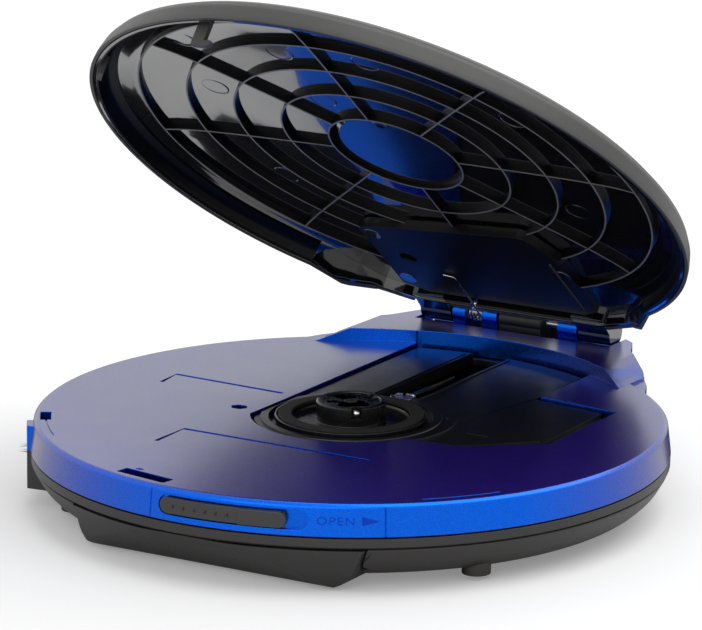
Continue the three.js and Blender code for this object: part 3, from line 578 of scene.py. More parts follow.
BOARD = CircuitBoard("circuit_board")
DARK_BOARD = CircuitBoard("dark_circuit_board", (0.006, 0.008, 0.01), (0.014, 0.018, 0.022))
LENS_GLASS = CoatedGlass("lens_coating")
DISPLAY = DisplayCell("display_cell")


@lru_cache(maxsize=None)
def material_of(finish: Finish) -> Material:
    """Builds a finish's material once."""
    return finish.material()


# ---------------------------------------------------------------- outlines


def polar(radius: float, angle: float) -> tuple[float, float]:
    """Point at a radius, at degrees from the front towards the right."""
    turn = math.radians(angle)
    return radius * math.sin(turn), -radius * math.cos(turn)


def rounded(corners: Sequence[Point], fillet: float = 0.0, steps: int = 6) -> list[Point]:
    """Rounds the corners of a closed outline.

    Args:
        corners: points; a third number is that corner's own radius.
        fillet: radius of the other corners.
        steps: segments in each round.

    Returns:
        The outline's points.
    """
    result: list[Point] = []
    straight = math.radians(89)
    for index, corner in enumerate(corners):
        here = Vector(corner[:2])
        radius = corner[2] if len(corner) > 2 else fillet
        back = Vector(corners[index - 1][:2]) - here
        ahead = Vector(corners[(index + 1) % len(corners)][:2]) - here
        half = back.angle(ahead) / 2
        if radius <= 0 or half > straight:
            result.append(tuple(here))
            continue
        reach = min(radius / math.tan(half), 0.49 * back.length, 0.49 * ahead.length)
        start, end = here + back.normalized() * reach, here + ahead.normalized() * reach
        middle = (back.normalized() + ahead.normalized()).normalized()
        centre = here + middle * (reach / math.cos(half))
        first, last = start - centre, end - centre
        spokes = [first.lerp(last, step / steps).normalized() for step in range(steps + 1)]
        result += [tuple(centre + spoke * first.length) for spoke in spokes]
    return result


def arc(radius: float, start: float, end: float, steps: int) -> list[tuple[float, float]]:
    """Points on a circle about the disc axis, from one angle to another."""
    return [polar(radius, start + (end - start) * i / steps) for i in range(steps + 1)]


def oblong(x0: float, y0: float, x1: float, y1: float) -> list[Point]:
    """Corners of a rectangle."""
    return [(x0, y0), (x1, y0), (x1, y1), (x0, y1)]


def mirrored(half: Sequence[Point]) -> list[Point]:
    """An outline that is the same on both sides of X, from its left half."""
    return [*half, *[(-corner[0], *corner[1:]) for corner in reversed(half)]]


# ---------------------------------------------------------------- solids


def linked(name: str, data: bpy.types.ID) -> Object:
    """New object of the scene that holds the data."""
    item = bpy.data.objects.new(name, data)
    bpy.context.scene.collection.objects.link(item)
    return item


@contextmanager
def opened(mesh: Mesh) -> Iterator[bmesh.types.BMesh]:
    """Opens a mesh for changes and writes them back."""
    shape = bmesh.new()
    shape.from_mesh(mesh)
    yield shape
    shape.to_mesh(mesh)
    shape.free()


class Solid:
    """A closed mesh in millimetres that is joined with others and cut by them."""

    def __init__(self, mesh: Mesh) -> None:
        """Keeps the mesh."""
        self.mesh = mesh

    @classmethod
    def of(cls, points: Sequence[Point], faces: Sequence[Sequence[int]]) -> Solid:
        """Closed solid from points and faces.

        Args:
            points: corners.
            faces: corner numbers of each face.

        Returns:
            The solid with its faces turned outwards.
        """
        mesh = bpy.data.meshes.new("solid")
        mesh.from_pydata([tuple(point) for point in points], [], faces)
        with opened(mesh) as shape:
            bmesh.ops.recalc_face_normals(shape, faces=shape.faces)
        return cls(mesh)

    @classmethod
    def turned(cls, profile: Sequence[Point], steps: int = SHELL_STEPS, centre: Point = (0, 0)) -> Solid:
        """Body of revolution about an upright axis.

        Args:
            profile: closed section as radius and height.
            steps: sides.
            centre: place of the axis.

        Returns:
            The solid.
        """
        points: list[Point] = []
        rings: list[list[int]] = []
        for radius, height in profile:
            count = 1 if radius < 1e-6 else steps
            rings.append([len(points) + i for i in range(count)])
            for i in range(count):
                x, y = polar(radius, 360 * i / steps)
                points.append((x + centre[0], y + centre[1], height))
        faces: list[list[int]] = []
        for ring, above in zip(rings, rings[1:] + rings[:1]):
            if len(ring) == 1 and len(above) == 1:
                continue
            for i in range(steps):
                j = (i + 1) % steps
                low = [ring[0]] if len(ring) == 1 else [ring[i], ring[j]]
                high = [above[0]] if len(above) == 1 else [above[j], above[i]]
                faces.append(low + high)
        return cls.of(points, faces)

    @classmethod
    def drawn(cls, outline: Sequence[Point], start: float, end: float, along: Axis = Axis.Z) -> Solid:
        """Outline drawn out along an axis.

        Args:
            outline: closed outline in the other two axes, in X, Y, Z order.
            start: where it starts along the axis.
            end: where it ends.
            along: the axis.

        Returns:
            The solid.
        """
        count = len(outline)
        at = along.value
        points = [(*pair[:at], depth, *pair[at:]) for depth in (start, end) for pair in outline]
        sides = [[i, (i + 1) % count, count + (i + 1) % count, count + i] for i in range(count)]
        caps = [list(range(count)), list(range(2 * count - 1, count - 1, -1))]
        return cls.of(points, sides + caps)

    @classmethod
    def block(cls, low: Point, high: Point) -> Solid:
        """Upright box between two corners."""
        return cls.drawn(oblong(*low[:2], *high[:2]), low[2], high[2])

    @classmethod
    def disc(
        cls, radius: float, low: float, high: float, centre: Point = (0, 0), steps: int = SMALL_STEPS
    ) -> Solid:
        """Upright cylinder."""
        return cls.turned(oblong(0, low, radius, high), steps, centre)

    @classmethod
    def rod(cls, radius: float, start: float, end: float, place: Point, along: Axis) -> Solid:
        """Level cylinder along X or Y through a place in the other two axes."""
        section = [
            (place[0] + radius * math.cos(turn), place[1] + radius * math.sin(turn))
            for turn in (2 * math.pi * i / SMALL_STEPS for i in range(SMALL_STEPS))
        ]
        return cls.drawn(section, start, end, along)

    @classmethod
    def banded(cls, columns: Sequence[Point], inner: float, outer: float) -> Solid:
        """Piece wrapped round the disc axis.

        Args:
            columns: angle, lowest and highest point of each column.
            inner: inner radius.
            outer: outer radius.

        Returns:
            The solid.
        """
        points, faces = [], []
        for angle, low, high in columns:
            for radius, height in ((inner, low), (outer, low), (outer, high), (inner, high)):
                points.append((*polar(radius, angle), height))
        last = len(columns) - 1
        for i in range(last):
            near, far = 4 * i, 4 * i + 4
            for k in range(4):
                n = (k + 1) % 4
                faces.append([near + k, near + n, far + n, far + k])
        faces += [[0, 1, 2, 3], [4 * last + k for k in (3, 2, 1, 0)]]
        return cls.of(points, faces)

    @classmethod
    def sector(cls, inner: float, outer: float, start: float, end: float, low: float, high: float) -> Solid:
        """Upright block of a ring between two angles."""
        steps = max(2, round(abs(end - start) / ARC_STEP))
        columns = [(start + (end - start) * i / steps, low, high) for i in range(steps + 1)]
        return cls.banded(columns, inner, outer)

    def _with(self, other: Solid, operation: str) -> Solid:
        """Combines two solids into a new one."""
        ours, theirs = linked("ours", self.mesh), linked("theirs", other.mesh)
        modifier = ours.modifiers.new("combine", "BOOLEAN")
        modifier.solver = "MANIFOLD"
        modifier.operation = operation
        modifier.object = theirs
        result = Solid(flattened(ours))
        bpy.data.objects.remove(theirs)
        return result

    def __add__(self, other: Solid) -> Solid:
        """Both solids as one."""
        return self._with(other, "UNION")

    def __sub__(self, other: Solid) -> Solid:
        """This solid without the other."""
        return self._with(other, "DIFFERENCE")

    def __and__(self, other: Solid) -> Solid:
        """What the two have in common."""
        return self._with(other, "INTERSECT")

    def placed(self, matrix: Matrix) -> Solid:
        """A copy moved by a matrix."""
        mesh = self.mesh.copy()
        mesh.transform(matrix)
        return Solid(mesh)

    def shifted(self, x: float, y: float) -> Solid:
        """A copy moved level."""
        return self.placed(Matrix.Translation((x, y, 0)))


def together(parts: Iterable[Solid]) -> Solid:
    """All of several solids as one."""
    return reduce(Solid.__add__, parts)


def hinge_rod(radius: float, start: float, end: float) -> Solid:
    """Cylinder on the lid's hinge axis."""
    return Solid.rod(radius, start, end, (HINGE.y, HINGE.z), Axis.X)


def port_rod(radius: float, start: float, end: float, y: float) -> Solid:
    """Cylinder along X at the height of the jacks."""
    return Solid.rod(radius, start, end, (y, PORTS), Axis.X)


def turn_z(angle: float) -> Matrix:
    """Turn about the disc axis by degrees."""
    return Matrix.Rotation(math.radians(angle), 4, "Z")


def flattened(item: Object) -> Mesh:
    """Applies an object's modifiers and removes it.

    Args:
        item: an object with modifiers.

    Returns:
        The finished mesh.
    """
    context = bpy.context
    context.view_layer.update()
    graph = context.evaluated_depsgraph_get()
    mesh = bpy.data.meshes.new_from_object(item.evaluated_get(graph), depsgraph=graph)
    item.modifiers.clear()
    bpy.data.objects.remove(item)
    return mesh


def cleaned(mesh: Mesh, reach: float, angle: float) -> Mesh:
    """Merges a mesh's doubled points and drops its flat slivers.

    Args:
        mesh: the mesh, which is changed.
        reach: how close two points are to be one.
        angle: degrees below which two faces become one; nought leaves them.

    Returns:
        The same mesh.
    """
    with opened(mesh) as shape:
        bmesh.ops.remove_doubles(shape, verts=shape.verts, dist=reach)
        if angle > 0:
            limit = math.radians(angle)
            bmesh.ops.dissolve_limit(shape, angle_limit=limit, verts=shape.verts, edges=shape.edges)
        bmesh.ops.dissolve_degenerate(shape, dist=reach, edges=shape.edges)
    return mesh


def softened(solid: Solid, edge: float, segments: int, sharp: float) -> Mesh:
    """Rounds a solid's edges and shades it.

    Args:
        solid: the solid.
        edge: width of the rounds; nought leaves the edges.
        segments: segments of each round.
        sharp: degrees above which an edge stays sharp.

    Returns:
        The shaded mesh.
    """
    mesh = cleaned(solid.mesh.copy(), WELD, FLAT)
    if edge > 0:
        item = linked("soft", mesh)
        bevel = item.modifiers.new("edges", "BEVEL")
        bevel.width = edge
        bevel.segments = segments
        bevel.limit_method = "ANGLE"
        bevel.angle_limit = math.radians(ROUND_FROM)
        bevel.use_clamp_overlap = False
        bevel.miter_outer = "MITER_ARC"
        mesh = cleaned(flattened(item), ROUND_WELD, 0)
    mesh.shade_smooth()
    mesh.set_sharp_from_angle(angle=math.radians(sharp))
    item = linked("shaded", mesh)
    weighted = item.modifiers.new("normals", "WEIGHTED_NORMAL")
    weighted.keep_sharp = True
    weighted.weight = 80
    return flattened(item)


@dataclass
class Assembly:
    """A group of pieces that ride on one body unless they say otherwise."""

    body: Body = Body.BASE
    place: Matrix = field(default_factory=Matrix)

    def put(
        self,
        name: str,
        solid: Solid,
        finish: Finish,
        slot: Slot,
        stands_for: Iterable[str] = (),
        edge: float = 0.15,
        segments: int = 2,
        sharp: float = 40.0,
        body: Body | None = None,
    ) -> None:
        """Finishes a solid as a piece of the player.

        Args:
            name: the piece's name.
            solid: its shape.
            finish: its material.
            slot: not used; handed on to mount.
            stands_for: nodes of the frame that it replaces.
            edge: width of its rounded edges.
            segments: segments of each round.
            sharp: degrees above which an edge stays sharp.
            body: its body, where that isn't the assembly's own.
        """
        self.mount(name, softened(solid, edge, segments, sharp), finish, slot, stands_for, body)

    def mount(
        self,
        name: str,
        mesh: Mesh,
        finish: Finish,
        slot: Slot,
        stands_for: Iterable[str] = (),
        body: Body | None = None,
    ) -> None:
        """Puts a finished mesh on its body.

        Args:
            name: the piece's name.
            mesh: its mesh in millimetres, before the assembly's own place.
            finish: its material.
            slot: not used.
            stands_for: nodes of the frame that it replaces.
            body: its body, where that isn't the assembly's own.
        """
        mesh.transform(Matrix.Scale(MM, 4) @ self.place)
        mesh.name = name
        mesh.materials.clear()
        mesh.materials.append(material_of(finish))
        piece = linked(name, mesh)
        nodes = list(stands_for)
        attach(piece, (body or self.body).value)
        if nodes:
            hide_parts(*nodes)
        LOG.info("%s: %d faces for %s", name, len(mesh.polygons), nodes or "detail")


def dress(frame: Mapping[str, Any], finish: Finish, *names: str) -> None:
    """Gives nodes of the frame a finish.

    Args:
        frame: the loaded frame.
        finish: the finish.
        names: the nodes.
    """
    for name in names:
        for slot in frame["nodes"][name].material_slots:
            slot.material = material_of(finish)
        LOG.info("%s: dressed in %s", name, finish.name)


# ---------------------------------------------------------------- geometry trees


class Growth(Graph):
    """A geometry tree with named inputs that makes repeated or swept shapes."""

    def __init__(self, name: str, **inputs: float | int | Object | Material) -> None:
        """Starts the tree.

        Args:
            name: the tree's name.
            inputs: named sizes, objects and materials, with underscores for spaces.
        """
        super().__init__(bpy.data.node_groups.new(name, "GeometryNodeTree"))
        face = self.tree.interface
        face.new_socket(name="Geometry", in_out="OUTPUT", socket_type="NodeSocketGeometry")
        face.new_socket(name="Geometry", in_out="INPUT", socket_type="NodeSocketGeometry")
        self.values: dict[str, Any] = {}
        for key, value in inputs.items():
            kind = {int: "NodeSocketInt", float: "NodeSocketFloat"}.get(type(value))
            if isinstance(value, Object):
                kind = "NodeSocketObject"
            elif isinstance(value, Material):
                kind = "NodeSocketMaterial"
            socket = face.new_socket(name=key.replace("_", " "), in_out="INPUT", socket_type=kind)
            self.values[socket.identifier] = value
        self.source = self.tree.nodes.new("NodeGroupInput")

    def given(self, name: str) -> Wire:
        """One of the tree's own inputs."""
        return Wire(self, self.source.outputs[name])

    def vector(self, x: Operand = 0.0, y: Operand = 0.0, z: Operand = 0.0) -> Wire:
        """A vector from three values."""
        return self.add("ShaderNodeCombineXYZ", inputs={0: x, 1: y, 2: z})

    def placed(self, geometry: Wire, **moves: Any) -> Wire:
        """Moves, turns or scales a geometry."""
        return self.add("GeometryNodeTransform", inputs={"Geometry": geometry} | moves)

    def joined(self, *parts: Wire) -> Wire:
        """Joins geometries."""
        return self.add("GeometryNodeJoinGeometry", inputs={0: list(reversed(parts))})

    def swept(self, curve: Wire, section: Wire) -> Wire:
        """Sweeps a closed section along a curve."""
        sockets = {"Curve": curve, "Profile Curve": section, "Fill Caps": True}
        return self.add("GeometryNodeCurveToMesh", inputs=sockets)

    def round_section(self, sides: int) -> Wire:
        """Round section of the tree's wire radius."""
        sockets = {0: sides, "Radius": self.given("Wire Radius")}
        return self.add("GeometryNodeCurvePrimitiveCircle", inputs=sockets)

    def scattered(self, points: Wire, part: Wire, turns: Any = (0.0, 0.0, 0.0)) -> Wire:
        """Puts a copy of a part on each point."""
        sockets = {"Points": points, "Instance": part, "Rotation": turns}
        return self.add("GeometryNodeInstanceOnPoints", inputs=sockets)

    def grown(self, result: Wire, seed: Mesh | None = None) -> Mesh:
        """Ends the tree and returns what it makes.

        Args:
            result: the geometry that the tree ends in.
            seed: mesh whose points the tree starts from.

        Returns:
            A plain mesh in millimetres.
        """
        real = self.add("GeometryNodeRealizeInstances", inputs={0: result})
        dressed = {"Geometry": real, "Material": self.given("Material")}
        self.add("NodeGroupOutput", inputs={0: self.add("GeometryNodeSetMaterial", inputs=dressed)})
        item = linked("growth", seed or bpy.data.meshes.new("seed"))
        modifier = item.modifiers.new("growth", "NODES")
        modifier.node_group = self.tree
        for identifier, value in self.values.items():
            modifier[identifier] = value
        mesh = flattened(item)
        with opened(mesh) as shape:
            bmesh.ops.remove_doubles(shape, verts=shape.verts, dist=GROWN_WELD)
            bmesh.ops.recalc_face_normals(shape, faces=shape.faces)
        mesh.shade_smooth()
        mesh.set_sharp_from_angle(angle=math.radians(GROWN_SHARP))
        return mesh


def scatter(
    name: str, part: Mesh, places: Sequence[Point], turns: Sequence[float], finish: Finish
) -> Mesh:
    """Copies a part to each of several places.

    Args:
        name: the tree's name.
        part: the part, upright about its own origin.
        places: where the copies go.
        turns: degrees that each is turned about Z.
        finish: their finish.

    Returns:
        One mesh with all the copies.
    """
    pattern = bpy.data.objects.new(f"{name}_part", part)
    tree = Growth(name, Part=pattern, Material=material_of(finish))
    seed = bpy.data.meshes.new(f"{name}_places")
    seed.from_pydata([tuple(place) for place in places], [], [])
    values = [math.radians(turn) for turn in turns]
    seed.attributes.new("turn", "FLOAT", "POINT").data.foreach_set("value", values)
    turn = tree.add("GeometryNodeInputNamedAttribute", {"data_type": "FLOAT"}, {"Name": "turn"})
    shape = tree.add("GeometryNodeObjectInfo", inputs={"Object": tree.given("Part")}, output="Geometry")
    mesh = tree.grown(tree.scattered(tree.given("Geometry"), shape, tree.vector(z=turn)), seed)
    bpy.data.objects.remove(pattern)
    return mesh


# ---------------------------------------------------------------- deck


def stadium(start: float, end: float, low: float, high: float, radius: float) -> list[Point]:
    """Columns of a band-wrapped slot with half-round ends.

    Args:
        start: first angle in degrees.
        end: last angle.
        low: lower edge.
        high: upper edge.
        radius: radius that it is wrapped on.

    Returns:
        Columns as angle, lowest and highest point.
    """
    half, middle = (high - low) / 2, (high + low) / 2
    reach = math.degrees(half / radius)
    turns = [math.radians(10 * step) for step in range(1, 9)]
    ends = [(reach * (1 - math.cos(turn)), half * math.sin(turn)) for turn in turns]
    span = end - start - 2 * reach
    steps = max(2, round(span / ARC_STEP))
    columns = [(start + away, tall) for away, tall in ends]
    columns += [(start + reach + span * i / steps, half) for i in range(steps + 1)]
    columns += [(end - away, tall) for away, tall in reversed(ends)]
    return [(angle, middle - tall, middle + tall) for angle, tall in columns]


def groove(points: Sequence[Point], width: float, low: float, high: float) -> Solid:
    """Narrow straight-sided channel along a chain of points.

    Args:
        points: the chain.
        width: its width.
        low: lower face.
        high: upper face.

    Returns:
        The solid that it takes up.
    """
    left, right = [], []
    for index, point in enumerate(points):
        before = Vector(points[max(index - 1, 0)][:2])
        after = Vector(points[min(index + 1, len(points) - 1)][:2])
        way = (after - before).normalized()
        side = Vector((-way.y, way.x)) * width / 2
        here = Vector(point[:2])
        left.append(tuple(here + side))
        right.append(tuple(here - side))
    return Solid.drawn(left + right[::-1], low, high)


@dataclass
class DeckShell(Assembly):
    """Blue deck with its bright band, raised rear bridge, hinge lugs and openings."""

    plate: float = 1.6
    wall: float = 1.4
    side_x: float = -68.9
    side_top: float = DECK - 5.6
    side_front: float = -17.0
    side_rear: float = 22.0
    bridge_radius: float = 62.7
    bridge_height: float = 2.9
    bridge_top_x: float = 32.3
    bridge_foot_x: float = 38.7
    line_width: float = 0.85
    line_depth: float = 0.5

    housing: tuple[Point, ...] = (
        (-24, 79.3, 2.5), (-27.5, 77, 2), (-31, 69.5, 3), (-37.2, 63.5, 3), (-41.5, 57, 3), (-45.5, 48),
    )
    housing_inside: tuple[Point, ...] = ((-23, 77.6), (-26, 76), (-29.5, 68.5), (-33, 63), (-33, 48))
    lugs: tuple[tuple[float, float], ...] = ((-16, -12.8), (-8.5, -4.6), (11, 15.9))
    upper_bracket: tuple[Point, ...] = ((-48.7, 0.96), (-49.4, 8.1), (-21.4, 7.04))
    lower_bracket: tuple[Point, ...] = ((-24.0, -39.4), (-24.1, -28.5), (21.2, -28.5))

    @staticmethod
    def opening(rear_radius: float, step: Point, front: Point, side: Point) -> list[Point]:
        """Outline over the mechanism, from its rear arc and its three right-hand corners."""
        rear = arc(rear_radius, -163, -206, 24)
        return [step, front, *arc(21.5, 64, -60, 40), (-18.5, 0), *rear, (27.1, 34.6), side]

    def housing_prism(self, low: float, high: float) -> Solid:
        """Rear housing between two heights."""
        return Solid.drawn(rounded(mirrored(self.housing), steps=5), low, high)

    def bridge_space(self, clearance: float, low: float) -> Solid:
        """Space of the bridge, grown by a clearance."""
        top = DECK + self.bridge_height + clearance
        wide, narrow = self.bridge_foot_x + clearance, self.bridge_top_x + clearance
        section = [(-wide, low), (wide, low), (wide, DECK), (narrow, top), (-narrow, top), (-wide, DECK)]
        hole = Solid.disc(self.bridge_radius - clearance, low - 1, top + 1, steps=SHELL_STEPS)
        return Solid.drawn(section, 40, 90, Axis.Y) - hole

    def side_panel(self, low: float, high: float, trim: float, fillet: float = 0.0) -> Solid:
        """Flat jack panel between two heights, drawn in by a distance."""
        outline = [
            (self.side_x + trim, self.side_front + trim, fillet), (-60, self.side_front + trim),
            (-60, self.side_rear - trim), (self.side_x + trim, self.side_rear - trim, fillet),
        ]
        return Solid.drawn(rounded(outline), low, high)

    def body_shell(self) -> Solid:
        """Deck, band, side panel, rear housing and bridge as one."""
        under = DECK - self.plate
        profile = [
            (0, under), (65.4, under), (65.8, DECK - 2.4), (66.3, BAND_LOW),
            (BAND_FOOT, BAND_LOW, 0.2), (BAND_HEAD, DECK - BAND_ROUND, BAND_ROUND), (66.85, DECK, 0.9),
            (0, DECK),
        ]
        shell = Solid.turned(rounded(profile))
        shell += self.side_panel(BAND_LOW, self.side_top, 0, 1.2)
        shell -= self.side_panel(BAND_LOW - 1, self.side_top - self.wall, self.wall)
        shell += Solid.drawn(rounded(self.tab_block(), 0.4, 4), BAND_LOW, DECK - 1.4)
        ring = Solid.disc(65.6, 0, 40, steps=SHELL_STEPS)
        shell += self.housing_prism(BAND_LOW, DECK - 0.5) - ring
        shell += self.bridge_space(0, under) & self.housing_prism(under, DECK + 5)
        shell -= Solid.drawn(mirrored(self.housing_inside), BAND_LOW - 1, under)
        return shell - Solid.block((-24.8, 70.3, DECK + 0.6), (24.8, 90, DECK + 9))

    def hinge_lugs(self) -> Solid:
        """Fixed knuckles of the hinge."""
        lugs = together(
            hinge_rod(KNUCKLE, start, end)
            + Solid.block((start, HINGE.y - 2.6, DECK - 1), (end, HINGE.y + 2.6, HINGE.z - 1))
            for start, end in self.lugs
        )
        return lugs - hinge_rod(PIN_HOLE, -17, 17)

    @staticmethod
    def tab_block() -> list[Point]:
        """Outline of the block outside the slot of the lid's tab."""
        return [(-56.2, -40.2), (-58.7, -36.5), (-54.0, -33.3), (-49.9, -39.4)]

    def cuts(self) -> Iterable[Solid]:
        """Everything that is sunk into the deck or goes through it."""
        below, above = DECK - 5, DECK + 1
        outline = self.opening(63.0, (46.8, 2.6), (31.3, -9.6), (47.0, 32.2))
        yield Solid.drawn(rounded(outline, 0.4, 3), below, DECK + 4)
        slot = rounded(oblong(-7.6, -1.6, 5.2, 1.6), 0.25, 3)
        yield Solid.drawn(slot, below, above).placed(turn_z(-9.6)).shifted(*polar(63.6, -9.6))
        eye = [(-1.1, 0), (0, -0.6), (1.1, 0), (0, 0.6)]
        yield Solid.drawn(eye, DECK - 0.9, above).shifted(-15.2, -59.2)
        socket = [(-25.4, -7.4), (-24.4, -9), (-22.4, -9), (-21.5, -7.4), (-22.4, -6), (-24.4, -6)]
        yield Solid.drawn(socket, below, above)
        yield Solid.sector(63.9, 66.2, -59.5, -54, below, above)
        yield groove(arc(65, -54.5, -43, 16), 0.3, DECK - 0.3, above)
        yield groove(arc(64.9, 43.4, 58.4, 20), 0.35, DECK - 0.3, above)
        for bracket in (self.upper_bracket, self.lower_bracket):
            yield groove(bracket, self.line_width, DECK - self.line_depth, above)
        yield Solid.banded(stadium(-4.3, 23.4, DECK - 5.5, DECK - 1.5, 68), 67.15, 72)
        yield Solid.sector(64, 72, 3.2, 16.2, DECK - 4.4, DECK - 2.6)
        for angle in (-6.0, 36.6):
            yield self.panel_line(angle)

    @staticmethod
    def panel_line(angle: float, half: float = 0.07, depth: float = 0.09) -> Solid:
        """Thin upright line in the band at an angle."""
        points = []
        for height, radius in ((11.2, 68.37), (17.4, 67.64)):
            for side in (-half, half):
                points.append((*polar(radius - depth, angle + side), height))
                points.append((*polar(70, angle + side), height))
        faces = [(0, 1, 3, 2), (4, 5, 7, 6), (0, 1, 5, 4), (2, 3, 7, 6), (0, 2, 6, 4), (1, 3, 7, 5)]
        return Solid.of(points, faces)

    def build(self) -> None:
        """Builds the deck."""
        shell = self.body_shell() + self.hinge_lugs()
        for cut in self.cuts():
            shell -= cut
        self.put("deck_shell", shell, BLUE_LACQUER, Slot.DECK_BLUE, ["top_deck"], 0.12, 2, 32)


@dataclass
class Lettering(Assembly):
    """Raised word and arrow beside the release slider, wrapped on the band."""

    word: str = "OPEN"
    word_start: float = 24.9
    word_width: float = 7.6
    word_height: float = 1.65
    arrow_start: float = 32.6
    arrow_length: float = 3.7
    arrow_height: float = 1.9
    middle: float = 14.75
    relief: float = 0.09
    sink: float = 0.12

    @staticmethod
    def band_radius(height: float) -> float:
        """Radius of the band's face at a height."""
        slope = (BAND_HEAD - BAND_FOOT) / (DECK - BAND_ROUND - BAND_LOW)
        return BAND_FOOT + (height - BAND_LOW) * slope

    def wrapped(self, mesh: Mesh, start: float) -> None:
        """Wraps a flat mesh, drawn in X and Y and raised in Z, round the band."""
        for vertex in mesh.vertices:
            height = self.middle + vertex.co.y
            radius = self.band_radius(height)
            angle = start + math.degrees(vertex.co.x / radius)
            vertex.co = Vector((*polar(radius - self.sink + vertex.co.z, angle), height))

    def word_mesh(self) -> Mesh:
        """The word as a flat mesh, scaled to its size."""
        curve = bpy.data.curves.new("word", "FONT")
        curve.body = self.word
        curve.extrude = 0.5
        curve.space_character = 1.15
        mesh = flattened(linked("word", curve))
        xs = [vertex.co.x for vertex in mesh.vertices]
        ys = [vertex.co.y for vertex in mesh.vertices]
        wide, tall = max(xs) - min(xs), max(ys) - min(ys)
        middle = (max(ys) + min(ys)) / 2
        for vertex in mesh.vertices:
            vertex.co.x = (vertex.co.x - min(xs)) * self.word_width / wide
            vertex.co.y = (vertex.co.y - middle) * self.word_height / tall
            vertex.co.z = self.relief + self.sink if vertex.co.z > 0 else 0.0
        return mesh

    def build(self) -> None:
        """Builds the word and the arrow."""
        word = self.word_mesh()
        self.wrapped(word, self.word_start)
        self.mount("open_word", word, LETTER_BLUE, Slot.DECK_BLUE)
        half = self.arrow_height / 2
        outline = [(0, -half), (self.arrow_length, 0), (0, half)]
        arrow = Solid.drawn(rounded(outline, 0.12, 3), 0, self.relief + self.sink).mesh
        self.wrapped(arrow, self.arrow_start)
        self.mount("open_arrow", arrow, LETTER_BLUE, Slot.DECK_BLUE)


# ---------------------------------------------------------------- case


